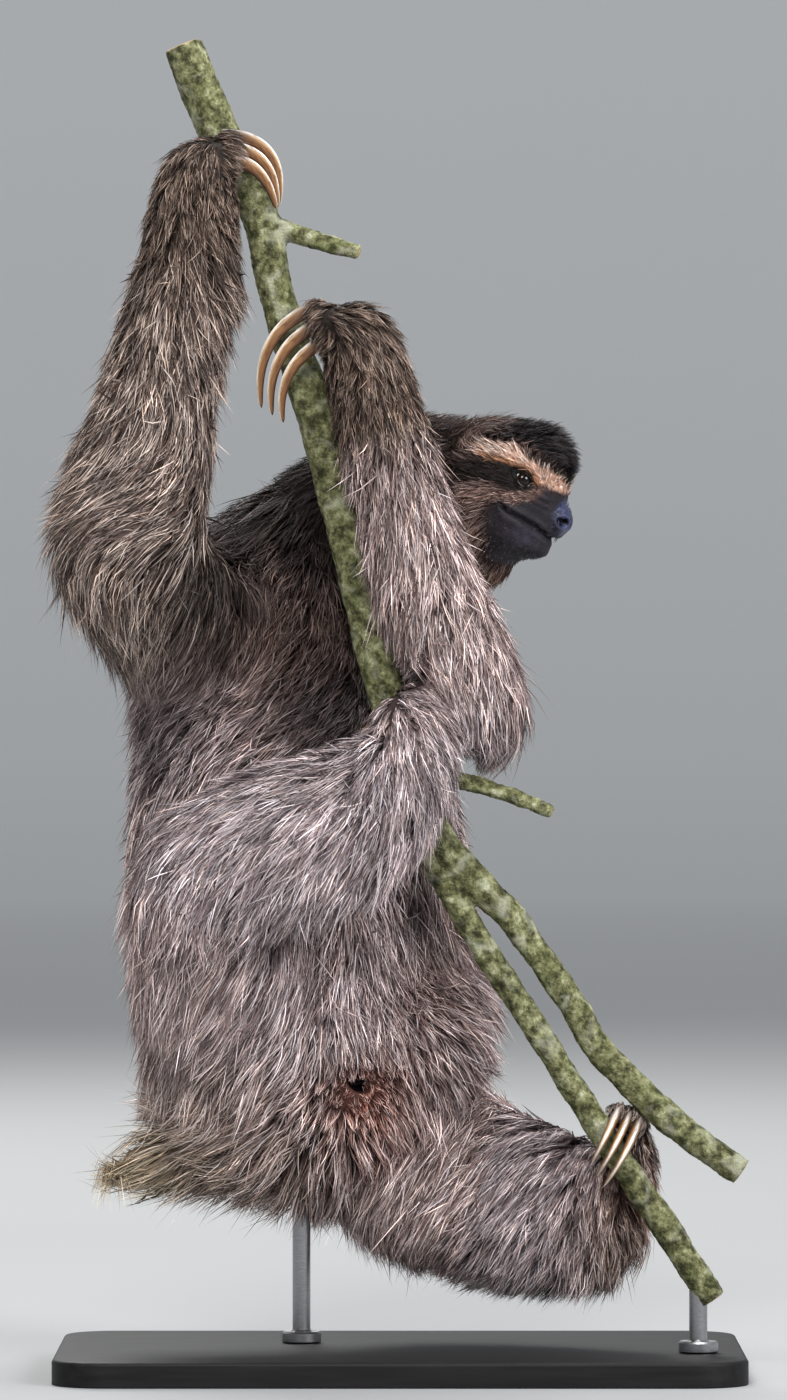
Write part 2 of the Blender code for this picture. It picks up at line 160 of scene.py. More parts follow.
# Each colouring is the hair's colour at its root, along its middle and at its tip.
# The dark roots are partly the hair's own colour and partly painted shade deep in the coat.
COLOURS = {
    "grey": (0x18100D, 0x695451, 0xDFCDCA),
    "arm": (0x110B08, 0x392A25, 0xBBAAA0),
    "pale": (0x1B1413, 0x706163, 0xD4C7C8),
    "brown": (0x1A110D, 0x4C3832, 0x9C827A),
    "dark": (0x0E0906, 0x2E2019, 0x8E7C70),
    "buff": (0x2A2118, 0x80705A, 0xE0D0B4),
    # The shade colouring is painted shade: near-black hair where shadow falls on the coat.
    "shade": (0x010101, 0x070605, 0x171311),
    "rufous": (0x3A160E, 0x9C6150, 0xEBC2B4),
    "nape": (0x140E0D, 0x3A2B27, 0x85706A),
    # The crown is near black; its tips are a little lighter as a painted highlight from the light behind.
    "crown": (0x080606, 0x141011, 0x383335),
    "brow": (0xA07A66, 0xDCBAA6, 0xFBECE2),
    "amber": (0x7A4A2C, 0xA87048, 0xD2A27C),
    "mask": (0x080605, 0x15100E, 0x2A201C),
    "cheek": (0x33231E, 0x6E554D, 0xB0978E),
    "throat": (0x20150F, 0x4A372E, 0x846C5E),
    "muzzle": (0x1E1B1F, 0x29262A, 0x443F45),
    # The lower jaw's colouring is painted sheen: a lighter blue-grey where light glances across the jaw.
    "jaw_sheen": (0x2E2B34, 0x3D3A46, 0x55515C),
    # The nose pad is dark, and its blue tint is painted sky reflection on the moist skin.
    "nose": (0x2B2F44, 0x373D5C, 0x454B6E),
    # The lower lid's pale rim colouring is a painted highlight where light catches the rim.
    "lid_rim_highlight": (0x565A5E, 0x64686C, 0x64686C),
}
COLOUR_NAMES = tuple(COLOURS)
BARE = [COLOUR_NAMES.index(name) for name in ("muzzle", "jaw_sheen", "nose")]
STOPS = np.array([[linear(code) for code in codes] for codes in COLOURS.values()])

# Places on the body whose colouring differs from their part's: (x, y, z, reach, colouring, strength).
PATCHES = (
    # The shade rows here are painted shade on the chest, where it lies behind the perch and between the arms.
    (-44, -20, 470, 50, "shade", 1.0),
    (-24, -20, 425, 46, "shade", 1.0),
    (-10, -30, 385, 34, "shade", 1.0),
    (-14, 0, 505, 40, "shade", 1.0),
    (-76, -40, 440, 32, "shade", 0.85),
    (-70, -20, 406, 34, "brown", 0.5),
    (-94, -60, 455, 24, "shade", 0.7),
    (-38, -28, 374, 20, "shade", 0.85),
    (-18, -45, 157, 16, "rufous", 1.0),
    (-12, -45, 140, 14, "rufous", 0.45),
    (-104, -105, 303, 30, "pale", 0.9),
    # Partly paler hair and partly painted sheen, where light glances across the flank.
    (-130, -12, 350, 32, "pale", 0.9),
    (-58, -50, 208, 32, "pale", 0.6),
    # Painted shade in the fold of the lower belly, where its hair is rough.
    (10, -38, 250, 12, "shade", 0.35),
    (9, -34, 228, 14, "shade", 0.55),
    (11, -32, 192, 14, "shade", 0.3),
    (12, -36, 212, 20, "rufous", 0.22),
    (-20, -46, 212, 26, "pale", 0.5),
    (44, -4, 200, 20, "pale", 1.0),
    (40, -8, 205, 18, "rufous", 0.15),
    # Painted shade in the gaps under the body beside the tail.
    (-91, -20, 116, 12, "shade", 0.6),
    (-46, -25, 121, 10, "shade", 0.6),
    # Painted shade under the left elbow.
    (48, -80, 344, 17, "shade", 0.9),
    (62, -70, 352, 14, "shade", 0.8),
    (-112, -68, 610, 30, "dark", 0.7),
    (2, -62, 536, 26, "dark", 0.4),
    (-112, 0, 128, 34, "buff", 0.55),
    (22, -60, 345, 34, "pale", 0.8),
    (128, -22, 95, 16, "rufous", 0.35),
    (118, -30, 80, 16, "arm", 0.9),
    (-70, 92, 400, 40, "brown", 0.4),
    (-80, 110, 250, 45, "pale", 0.35),
)

# Places where the hair is shorter than its part's: (x, y, z, reach, length).
SHORTER = (
    (-115, -20, 362, 34, 18),
    (-80, -40, 385, 26, 20),
    (10, -33, 215, 27, 12),
    (-60, -40, 430, 30, 24),
    (76, -5, 50, 28, 14),
    (30, 0, 64, 28, 15),
)
ROUGH = (10, -33, 207, 17)  # the rough hair of the lower belly: its middle and its reach

# The parts that the painted shade on the chest may reach, and how high on the body that holds.
INNER = ("trunk", "neck", "upper_arm_left", "upper_arm_right")
INNER_FROM = 370

# How the hair lies, as (x, y, z) on the body and the direction it grows in there. Elsewhere it hangs down.
LIE = (
    (-113, -90, 659, 0.1, 0, -1),
    (-95, -82, 675, -0.6, 0, -0.7),
    (-129, -110, 609, -0.2, 0, -1),
    (-94, -105, 615, 0.4, 0, -1),
    (-154, -115, 543, -0.25, 0, -1),
    (-115, -120, 543, 0.1, 0, -1),
    (-100, -112, 512, -0.35, 0, -0.95),
    (-124, -115, 512, -0.35, 0, -0.95),
    (-104, -110, 495, -0.7, 0, -0.7),
    (-137, -115, 490, -0.85, 0, -0.5),
    (-112, -115, 475, -0.95, 0, -0.3),
    (-140, -110, 465, -0.95, 0, -0.35),
    (-165, -105, 472, -0.8, 0, -0.6),
    (-168, -100, 500, -0.5, 0, -0.85),
    (-179, -90, 439, -0.1, 0, -1),
    (-150, -112, 428, 0.3, 0, -1),
    (-126, -80, 412, -0.1, 0, -1),
    (-104, -75, 440, -0.6, 0, -0.8),
    (-93, -50, 400, -0.5, 0, -0.85),
    (-71, -20, 450, -0.5, 0, -0.85),
    (-44, -45, 406, -0.4, 0, -0.9),
    (-60, -40, 373, -0.75, 0, -0.65),
    (-110, -20, 378, -0.5, 0, -0.85),
    (-77, -45, 351, -0.75, 0, -0.65),
    (-126, -20, 345, -0.25, 0, -1),
    (0, -95, 375, 0.5, 0, -0.6),
    (18, -95, 352, 0.5, 0, -0.85),
    (24, -95, 323, 0.05, 0, -1),
    (-3, -110, 340, -0.2, 0, -1),
    (0, -100, 296, -0.35, 0, -0.95),
    (-27, -100, 362, -0.8, 0, -0.4),
    (-38, -115, 329, -0.85, 0, -0.5),
    (-82, -110, 323, -0.92, 0, -0.35),
    (-110, -105, 304, -0.75, 0, -0.55),
    (-135, -85, 285, -0.4, 0, -0.9),
    (-38, -105, 285, -0.7, 0, -0.75),
    (-77, -105, 274, -0.6, 0, -0.8),
    (-121, -80, 241, -0.15, 0, -1),
    (-93, -75, 219, -0.45, 0, -0.9),
    (-88, -55, 175, -0.35, 0, -0.95),
    (-44, -60, 235, -0.45, 0, -0.9),
    (-16, -60, 246, 0.35, 0, -0.95),
    (-11, -60, 208, 0.2, 0, -1),
    (22, -45, 246, -0.25, 0, -1),
    (40, -25, 208, 0.85, 0, -0.45),
    (44, -25, 182, 0.85, 0, -0.3),
    (16, -40, 175, 0.1, 0, -1),
    (-49, -40, 160, -0.8, 0, -0.5),
    (-28, -45, 178, 0.25, 0, -1),
    (-5, -45, 175, 0.2, 0, -1),
    (-5, -40, 145, 0.5, 0, -0.8),
    (-137, 25, 120, -0.95, 0, -0.3),
    (-105, 20, 124, -0.9, 0, -0.35),
    (38, 10, 110, -0.5, 0, -0.8),
    (77, 5, 136, -0.7, 0, -0.35),
    (50, 0, 82, -0.75, 0, -0.65),
    (66, -5, 100, -0.6, 0, -0.8),
    (72, -10, 70, -0.6, 0, -0.8),
    (92, -25, 98, -0.45, 0, -0.9),
    (100, -20, 60, -0.3, 0, -0.95),
    (112, -25, 72, 0.1, 0, -1),
    (127, -28, 100, 0.35, 0, -0.9),
    (132, -25, 125, 0.2, 0, -1),
    (-38, -80, 589, 0.7, 0, 0.4),
    (-18, -82, 586, 0.7, 0, -0.6),
    (-34, -82, 562, 0.0, 0, -1),
    (2, -80, 549, 0.2, 0, -1),
    (22, -88, 450, 0.2, 0, -1),
    (0, -85, 428, 0.0, 0, -1),
    (44, -70, 400, 0.3, 0, -1),
    (46, -65, 356, 0.1, 0, -1),
    (-30, 60, 492, -0.8, 0.1, -0.5),
    (14, 20, 532, 0.9, 0, 0.0),
    (36, 10, 528, 0.9, 0, 0.15),
    (14, -80, 525, 0.2, 0, -1),
    (24, -80, 498, 0.2, 0, -1),
    (34, -78, 470, 0.15, 0, -1),
)
LIE_REACH = 17
FLATTER = (1, 0.6, 1)  # y is a guide only in these tables, so it counts for less
HANGING = 0.06  # how strongly gravity combs the hair between those places

# ---- The head, in its own frame of (forward, left, up) from its centre ----

HEAD_CENTRE = (58, 15, 488)
HEAD_YAW, HEAD_PITCH = 18, 12
SIGHT = (0.45, 0.87, 0.15)  # the line of sight of the left eye

# The coat of the head: (forward, side, up, depth, hair length, direction of growth), the same on both sides.
HEAD_COAT = (
    (-12, 8, 42, 5, 12, 1.0, 0.1, -0.1),
    (6, 8, 42, 5.5, 9, 1.0, 0.1, 0.2),
    (18, 8, 38, 6, 8, 1.0, 0.1, 0.3),
    (27, 6, 34, 6, 7.5, 1.0, 0.1, 0.2),
    (34, 5, 26, 6, 7.5, 1.0, 0.15, -0.1),
    (36, 4, 19, 4.5, 6.5, 0.8, 0.1, -0.5),
    (0, 24, 34, 5, 10, 0.9, 0.2, -0.2),
    (20, 18, 29, 5, 7.5, 0.95, 0.2, -0.1),
    (-24, 26, 24, 5, 12, 0.5, 0.2, 0.3),
    (36, 4, 12, 1.6, 3.2, -0.1, 0.3, 0.9),
    (27, 13, 14, 1.6, 3.6, -0.4, 0.4, 0.8),
    (12, 20, 22, 2.2, 6, -0.8, 0.2, 0.45),
    (-8, 26, 19, 3, 9, -0.85, 0.2, 0.3),
    (6, 24, 13, 1.6, 5, -0.9, 0.2, 0.2),
    (-12, 28, 8, 3, 9, -1.0, 0.1, -0.1),
    (8, 23, 1, 1.5, 5.5, -0.9, 0.2, -0.2),
    (20, 17, 3, 0.9, 3, -0.8, 0.3, 0.1),
    (-8, 24, -4, 3.5, 10, -0.8, 0.1, -0.5),
    (-2, 20, -18, 4, 11, -0.6, 0.1, -0.8),
    (6, 16, -28, 3.5, 10, -0.5, 0.1, -0.85),
    (10, 0, -46, 5, 11, -0.4, 0, -0.9),
    (-4, 10, -48, 6, 14, -0.3, 0, -0.9),
    (22, 4, -34, 1.2, 4, -0.5, 0.1, -0.85),
    (12, 15, -14, 0.9, 3, -0.8, 0.2, -0.5),
    (30, 10, -2, 0.4, 1.2, -0.7, 0.5, 0.4),
    (36, 0, 4, 0.5, 1.5, -0.3, 0.2, 0.9),
    (38, 5, -8, 0.3, 0.8, -0.7, 0.4, 0.3),
    (28, 8, -18, 0.3, 1.4, -0.6, 0.5, -0.4),
    (24, 5, -26, 0.5, 2.2, -0.5, 0.2, -0.8),
    (-38, 8, 20, 6, 12, 0.8, 0.1, 0.4),
    (-34, 24, -6, 6, 18, -0.8, 0.2, -0.6),
)
HEAD_REACH = 8

# Markings of the face: a line of (forward, up, half width) on its side, where it begins and its strength.
MARKINGS = (
    ("brow", ((-17, 17, 2), (-9, 21, 3), (-1, 23.5, 3.4), (7, 23.5, 3.8), (14, 19.5, 4.4), (22, 15.5, 4.8),
              (30, 13, 5), (37, 11.5, 5)), -12, 1),
    ("amber", ((-6, 19.4, 1.2), (7, 18.6, 1.8), (17.5, 16.3, 2), (23, 12.8, 1.8), (25, 9.5, 1.3)), -12, 0.7),
    ("cheek", ((-20, -1, 3.4), (-10, 0, 3.6), (0, -1.5, 3.4), (8, -1, 3), (15, 0, 3), (22, 2.5, 3),
               (27, 7, 2.5)), -36, 1),
    ("mask", ((-34, 3, 6), (-24, 6, 6.4), (-14, 9, 6), (-4, 11, 5.4), (6, 11.5, 5.6),
              (13, 9.8, 6.6)), -36, 1),
)
# The lower edge of the crown, the back and upper edge of the bare muzzle, and the mouth, as (forward, up).
CROWN_EDGE = ((-30, 22), (-15, 27), (-3, 30), (8, 30), (18, 26), (27, 21.5), (30, 19), (33.5, 15), (37, 8.5),
              (44, 6))
MUZZLE_EDGE = ((1.5, -40), (3.5, -30), (2, -20), (1, -10), (3, -4.5), (15, -3.4), (23, -1), (27, 4), (30, 7),
               (45, 7))
MOUTH = ((7.5, -5.4), (13, -8.2), (20, -10.6), (26, -13.6), (31.5, -17.6), (40, -24))
NOSTRIL = (37.4, 6.2, -8.2)  # the left one's middle
CHIN = (25, 0, -27)
EYE_OPENING = (4.6, 3.0)  # half its width and half its height
EYE_SHIFT = (-2.4, 0, 0.8)  # how far each eye lies from the CAD model's


def head_frame():
    """The matrix from the head's frame to the row frame, in millimetres."""
    yaw, pitch = math.radians(HEAD_YAW), math.radians(HEAD_PITCH)
    forward = Vector((math.cos(yaw) * math.cos(pitch), -math.sin(yaw) * math.cos(pitch), -math.sin(pitch)))
    left = Vector((math.sin(yaw), math.cos(yaw), 0))
    turned = Matrix((forward, left, forward.cross(left))).transposed().to_4x4()
    return Matrix.Translation(Vector(HEAD_CENTRE)) @ turned


HEAD = np.array(head_frame())


def in_head(points):
    """Points of the row frame in the head's frame."""
    return (points - HEAD[:3, 3]) @ HEAD[:3, :3]


def node_centre(name):
    low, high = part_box(name)
    return np.array((low + high) / 2) / MM


# Each limb's middle claw as an arc through its root, its bulge and its tip, and the steps to the next claw.
CLAWS = {
    "hand_right": (
        ((-89.5, -67, 674), (-73.5, -62, 665), (-67.5, -51, 643.5)),
        ((0.5, 6, 7), (3, 6, 5), (0.5, 7, 1)),
    ),
    "hand_left": (
        ((-47, -65, 577), (-66.5, -64, 558), (-70, -53, 529.5)),
        ((-4, 0, 8.5), (-5.5, 0, 7.5), (-6, 0, 4)),
    ),
    "foot_right": (
        ((9, -28, 355), (-10, -28.5, 352), (-18, -43, 346)),
        ((-2.2, 0, 8), (-2.2, 0, 8), (-2.2, 0, 8)),
    ),
    "foot_left": (
        ((124.5, -42, 141.5), (117.2, -63, 128), (108.4, -50, 111.7)),
        ((-5.6, 0, 3), (-5.2, 0, 4.6), (-3.4, 0, 6)),
    ),
}
CLAW_HEIGHT, CLAW_WIDTH = 4.275, 2.6  # half the claw's depth and half its width, at its root
CLAW_TIP, CLAW_TAPER = 0.07, 0.46  # the tip's share of the root's size, and how slowly it thins towards there
CLAW_HELD = 0.15  # how far the claw goes back into the skin, as a share of its arc
CLAW_SIDES, CLAW_RINGS = 28, 40
KNUCKLE_AT, KNUCKLE_RADIUS = -0.08, 9  # the knuckle is centred this far along the claw's arc
CLAW_NODES = [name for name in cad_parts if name.startswith("claw")]


def claw_line(root, bulge, tip, shares):
    """Points on a claw's arc, from its root at 0 to its tip at 1."""
    rest = 1 - shares
    return root * rest * (1 - 2 * shares) + bulge * 4 * shares * rest + tip * shares * (2 * shares - 1)


def claws_of(limb):
    """The root, bulge and tip of each of a limb's three claws."""
    middle, steps = CLAWS[limb]
    return [[np.array(p, float) + np.array(step) * i for p, step in zip(middle, steps)] for i in (1, 0, -1)]


ALL_CLAWS = [claw for limb in CLAWS for claw in claws_of(limb)]
KNUCKLES = np.array([claw_line(*claw, KNUCKLE_AT) for claw in ALL_CLAWS])
CLAW_WARD = np.array([claw_line(*claw, 0.2) for claw in ALL_CLAWS]) - KNUCKLES  # along the claw
NAPE = ((37, 12, 516), 15)  # a ball that fills the hollow between neck and crown


# ---- Shapes and meshes ----


def unit(rows):
    return rows / np.maximum(np.linalg.norm(rows, axis=-1, keepdims=True), 1e-9)


def ease(x):
    """A smooth step from 0 to 1."""
    x = np.clip(x, 0, 1)
    return x * x * (3 - 2 * x)


def hill(x, middle, width):
    """1 at the middle, falling away smoothly on both sides."""
    return np.exp(-(((x - middle) / width) ** 2))


def mixed(a, b, share):
    return a + (b - a) * share


def near(points, places, reach):
    """1 at a place, falling away smoothly with distance, where y counts for less."""
    return np.exp(-(((points - places) * FLATTER) ** 2).sum(axis=-1) / (2 * reach**2))


def linked(name, mesh):
    """A new object of the mesh, in the scene."""
    made = bpy.data.objects.new(name, mesh)
    bpy.context.scene.collection.objects.link(made)
    return made


def to_object(name, vertices, faces):
    """An object, shaded smooth, from points in millimetres and faces."""
    mesh = bpy.data.meshes.new(name)
    mesh.from_pydata((np.asarray(vertices) * MM).tolist(), [], [list(map(int, face)) for face in faces])
    mesh.validate()
    mesh.shade_smooth()
    return linked(name, mesh)


def outwards(made):
    """The object with its meeting points joined and its faces turned outwards."""
    bm = bmesh.new()
    bm.from_mesh(made.data)
    bmesh.ops.remove_doubles(bm, verts=bm.verts, dist=1e-7)
    bmesh.ops.recalc_face_normals(bm, faces=bm.faces)
    bm.to_mesh(made.data)
    bm.free()
    return made


def circle(radius, z, sides, centre=(0, 0)):
    """Points round a level circle."""
    turns = [2 * math.pi * j / sides for j in range(sides)]
    return [(centre[0] + radius * math.cos(turn), centre[1] + radius * math.sin(turn), z) for turn in turns]


def bands(rings, around):
    """The faces between rings of points, each with this many points around."""
    faces = []
    for ring in range(rings - 1):
        for j in range(around):
            a, b = ring * around + j, ring * around + (j + 1) % around
            faces.append((a, b, b + around, a + around))
    return faces


def applied(source, modifiers):
    """A new mesh from the mesh with (type, settings) of modifiers applied."""
    carrier = linked("carrier", source)
    for kind, settings in modifiers:
        step = carrier.modifiers.new(kind, kind)
        for key, value in settings.items():
            setattr(step, key, value)
    graph = bpy.context.evaluated_depsgraph_get()
    result = bpy.data.meshes.new_from_object(carrier.evaluated_get(graph))
    bpy.data.objects.remove(carrier)
    return result


def gathered(nodes, push):
    """The CAD nodes as one mesh, each pushed out by this many millimetres so that their gaps close."""
    whole = bmesh.new()
    for name in nodes:
        part = bmesh.new()
        part.from_mesh(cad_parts[name].data)
        bmesh.ops.remove_doubles(part, verts=part.verts, dist=1e-6)
        bmesh.ops.recalc_face_normals(part, faces=part.faces)
        part.normal_update()
        for vertex in part.verts:
            vertex.co += vertex.normal * push * MM
        piece = bpy.data.meshes.new("piece")
        part.to_mesh(piece)
        part.free()
        whole.from_mesh(piece)
    result = bpy.data.meshes.new("gathered")
    whole.to_mesh(result)
    whole.free()
    return result


def one_surface(mesh, voxel, softening):
    """One closed, even surface round everything in the mesh."""
    remesh = ("REMESH", {"mode": "VOXEL", "voxel_size": voxel * MM})
    return applied(mesh, [remesh, ("SMOOTH", {"iterations": softening, "factor": 0.5})])


def column(items, key, width, kind=float):
    """A list of Blender's items as rows of numbers, read from each item's key."""
    values = np.empty(len(items) * width, kind)
    items.foreach_get(key, values)
    return values.reshape(-1, width)


def arrays(mesh):
    """A mesh's points and point normals, in millimetres and row frame."""
    return column(mesh.vertices, "co", 3) / MM, column(mesh.vertices, "normal", 3)


def move_to(mesh, points):
    mesh.vertices.foreach_set("co", (points * MM).ravel())
    mesh.update()


def edges_of(mesh):
    return column(mesh.edges, "vertices", 2, np.int64)


def triangles_of(mesh):
    mesh.calc_loop_triangles()
    return column(mesh.loop_triangles, "vertices", 3, np.int64)


def store(mesh, name, values):
    """One number or three at each point of the mesh, as a colour attribute."""
    rows = np.ones((len(mesh.vertices), 4), np.float32)
    rows[:, :3] = values
    layer = mesh.color_attributes.new(name, "FLOAT_COLOR", "POINT")
    layer.data.foreach_set("color", rows.ravel())


def tree_of(points):
    """A finder of the nearest of the points."""
    tree = KDTree(len(points))
    for i, point in enumerate(points.tolist()):
        tree.insert(point, i)
    tree.balance()
    return tree


def nearest(tree, points):
    return np.array([tree.find(point)[1] for point in points.tolist()])


def evened(values, edges, rounds):
    """Values at a mesh's points, drawn halfway to their neighbours' average this many times."""
    values = np.array(values, float).reshape(len(values), -1)
    count = np.bincount(edges.ravel(), minlength=len(values))[:, None]
    for _ in range(rounds):
        total = np.zeros_like(values)
        for row in range(values.shape[1]):
            total[:, row] += np.bincount(edges[:, 0], values[edges[:, 1], row], len(values))
            total[:, row] += np.bincount(edges[:, 1], values[edges[:, 0], row], len(values))
        values = mixed(values, total / np.maximum(count, 1), 0.5)
    return values


def line_distance(f, u, line):
    """How far each (forward, up) is from a line of points, and the line's width where it is nearest."""
    best, width = np.full(len(f), 1e9), np.ones(len(f))
    for start, end in zip(line, line[1:]):
        run, climb = end[0] - start[0], end[1] - start[1]
        share = ((f - start[0]) * run + (u - start[1]) * climb) / (run**2 + climb**2)
        share = np.clip(share, 0, 1)
        gap = np.hypot(f - start[0] - share * run, u - start[1] - share * climb)
        nearer = gap < best
        best = np.where(nearer, gap, best)
        if len(start) > 2:
            width = np.where(nearer, start[2] + share * (end[2] - start[2]), width)
    return best, width


# ---- Skin ----

SKIN_VOXEL, SKIN_SOFTENING, REFINE_SOFTENING = 2.5, 10, 4
HEAD_TUCK = 0.8  # how far the head's skin lies in, as a share of its coat's depth
SEAM = 0.9  # each node is pushed out by this much, so that the gaps between them close
SOCKET = (8.6, 8.6, 5.2)  # the half sizes of the balls that fill the CAD model's eye sockets
SOCKET_OUT = 0.6
EYE_RADIUS = 5.2
LIPS = ((2.4, 1.6, 1.1), (-4.2, 2.6, 0.9))  # each lip's middle above the mouth, its width and its fullness
CREASE = 2.2  # how deep the mouth is
NOSE_PAD = (-8.5, 8.5, 9)  # how high its middle is, and its half height and half width
PAD_RISE, GROOVE, BRIDGE = 1.7, 0.8, 2.2  # how far each stands out or lies in
FOLD_RISE, FOLD_TURN = 0.35, 1.5  # the muzzle's folds: their height, and their radians in each millimetre
CHIN_PUSH, CHIN_SIZE = 5.2, (8, 12, 6.5)
UPPER_LID = 0.8  # the upper lid hangs lower, so its opening is this share of the lower lid's
LID_REST, LID_SWELL = 0.6, 0.55  # how far a lid's rim stands off the eyeball, and how much it swells
BEHIND_EYE = 1.6  # how deep the skin lies under the eyeball's surface inside the opening
NOSTRIL_SIZE = (5, 3.5, 3.2)  # half its length, width and height
NOSTRIL_DEPTH = 4.4
VENT = (-18, -40, 157)
VENT_ALONG = unit(np.array([0.85, 0, -0.53]))
VENT_SIZE, VENT_DEPTH = (7.2, 3.5), 8  # half its length and half its width, and its depth
VENT_REACH = 14  # skin further in or out than this isn't part of it
VENT_FINE = 20  # the skin is finer this near to it
FACE_FROM = (-4, 2, 4)  # where the face begins, forward, in each round of refining
SKIN_TONE, BARE_TONE = 0.25, 0.6  # how far the skin's colour is from the hair's root colour to its middle one
# Painted shade: near black inside the vent and the nostrils, where shade falls in the pits.
PIT_SHADE = 0x040203  # inside the vent and the nostrils
RAGGED, RAGGED_SPACING = 1.6, 0.28  # how far the face's markings stray, and how often in each millimetre

# The most that these may be near a claw, a knuckle or the vent: up to which gap, how much, and the growth on.
CLAW_LIMITS = {"skin": (14, 1.5, 0.25), "depth": (14, 1.5, 0.25), "length": (16, 5, 0.5)}
KNUCKLE_LIMITS = {"skin": (9, 2, 0.4), "depth": (9, 2.5, 0.3), "length": (9, 9, 0.6)}
VENT_LIMITS = {"depth": (7, 4, 0.5), "length": (10, 3, 0.8)}


def limited(values, gap, clear, most, growth):
    return np.minimum(values, most + np.maximum(gap - clear, 0) * growth)


def claw_gap(points):
    """How far each point is from the middle of the nearest claw."""
    return np.min([np.linalg.norm(points - node_centre(name), axis=1) for name in CLAW_NODES], axis=0)


def knuckle_gaps(points):
    """How far each point is from each knuckle."""
    return np.linalg.norm(points[:, None] - KNUCKLES[None], axis=2)


def eye_frame(side):
    """An eye's centre, and its axes along its sight, towards the nose and up, in the head's frame."""
    centre = in_head(node_centre("eye_left" if side > 0 else "eye_right")) + EYE_SHIFT
    sight = unit(np.array([SIGHT[0], side * SIGHT[1], SIGHT[2]]))
    nose_ward = np.array([1.0, 0, -0.52])
    nose_ward = unit(nose_ward - sight * (nose_ward @ sight))
    up = np.cross(sight, nose_ward)
    return centre, sight, nose_ward, up * np.sign(up[2])


def from_eye(q, side):
    """Points of the head's frame as towards the nose, up and out from an eye, and a ring, 1 on its edge."""
    centre, sight, nose_ward, up = eye_frame(side)
    off = q - centre
    nearer, higher, out = off @ nose_ward, off @ up, off @ sight
    return nearer, higher, out, np.hypot(nearer / EYE_OPENING[0], higher / EYE_OPENING[1])


def from_nostril(q, side):
    """Points of the head's frame as forward, left and up from a nostril."""
    return (q - np.array([NOSTRIL[0], side * NOSTRIL[1], NOSTRIL[2]])).T


def mouth_form(f, s, u):
    """The mouth is a crease between two soft lips, from a corner below the eye to under the nose."""
    gap, _ = line_distance(f, u, MOUTH)
    above = np.sign(u - np.interp(f, *zip(*MOUTH))) * gap
    reach = ease((f - 5) / 5) * ease((np.abs(s) - 0.2) / 0.5 + 0.6)
    wide = 0.9 + 0.7 * ease((f - 14) / 14)
    crease = -CREASE * hill(above, -0.4 * wide, wide)
    return (crease + sum(full * hill(above, middle, width) for middle, width, full in LIPS)) * reach


def nose_form(f, s, u):
    """The nose pad stands a little proud with a groove down its middle, behind it soft folds and a bridge."""
    pad = np.hypot((u - NOSE_PAD[0]) / NOSE_PAD[1], s / NOSE_PAD[2])
    front = ease((f - 30) / 5)
    shift = front * (PAD_RISE * ease((1.12 - pad) / 0.3) - 0.5 * hill(pad, 1.18, 0.12))
    shift -= front * GROOVE * hill(s, 0, 0.9) * ease((8 - np.abs(u + 11)) / 4)
    # Soft folds run from the inner corner of the eye down the muzzle.
    fold = u - (4.5 - 0.35 * (f - 20))
    shift += FOLD_RISE * np.sin(fold * FOLD_TURN) * hill(fold, 0, 5) * ease((f - 14) / 4) * ease((33 - f) / 4)
    # The bridge of the nose is nearly straight from the brow to the nose pad.
    return shift + BRIDGE * ease((f - 22) / 10) * hill(u, 9, 8) * hill(s, 0, 12)


def dug_nostrils(q):
    """The points with each nostril as a deep comma-shaped pit with a raised rim."""
    for side in (-1, 1):
        forward, left, up = from_nostril(q, side) / np.array(NOSTRIL_SIZE)[:, None]
        slope = 0.25 * NOSTRIL_SIZE[0] / NOSTRIL_SIZE[2]
        reach = np.sqrt(left**2 + (up + slope * forward) ** 2 + forward**2)
        inward = unit(np.array([-1.0, -side * 0.5, 0.25]))
        q += inward * (NOSTRIL_DEPTH * ease((1.05 - reach) / 0.5) - 0.5 * hill(reach, 1.35, 0.22))[:, None]
    return q


def lidded(q):
    """The points with each eye behind two lids, whose rims rest on the eyeball."""
    for side in (-1, 1):
        across, higher, out, _ = from_eye(q, side)
        spread = np.hypot(across, higher)
        half_height = EYE_OPENING[1] * (1 - 0.3 * np.clip(np.abs(across) / EYE_OPENING[0], 0, 1) ** 2)
        half_height = np.where(higher > 0, half_height * UPPER_LID, half_height)
        ring = np.hypot(across / EYE_OPENING[0], higher / half_height)
        inside = np.sqrt(np.maximum(EYE_RADIUS**2 - spread**2, 0)) - BEHIND_EYE
        rim = np.sqrt(np.maximum(EYE_RADIUS**2 - np.minimum(spread, 4.8) ** 2, 0.5)) + LID_REST
        swell = LID_SWELL * (hill(ring, 1.35, 0.22) - hill(ring, 1.9, 0.2))
        swell += np.where(higher > 0, 0.5, 0.15) * ease(2 - ring)
        outside = mixed(rim, np.maximum(out, rim - 2.5), ease((ring - 1.05) / 1.5)) + swell
        target = np.where(ring < 0.93, inside, mixed(inside, outside, ease((ring - 0.93) / 0.12)))
        share = ease(3.4 - ring) * (out > -6)
        q += eye_frame(side)[1] * ((target - out) * share)[:, None]
    return q


def face_form(points, normals):
    """The points of the head with its mouth, nose, chin, nostrils and lids formed."""
    q = in_head(points)
    f, s, u = q.T
    q = q + (normals @ HEAD[:3, :3]) * (mouth_form(f, s, u) + nose_form(f, s, u))[:, None]
    # The chin is full and rounded.
    chin = hill(f, CHIN[0], CHIN_SIZE[0]) * hill(s, CHIN[1], CHIN_SIZE[1]) * hill(u, CHIN[2], CHIN_SIZE[2])
    q = q + np.array([0.97, 0, -0.25]) * (CHIN_PUSH * chin)[:, None]
    return lidded(dug_nostrils(q)) @ HEAD[:3, :3].T + HEAD[:3, 3]


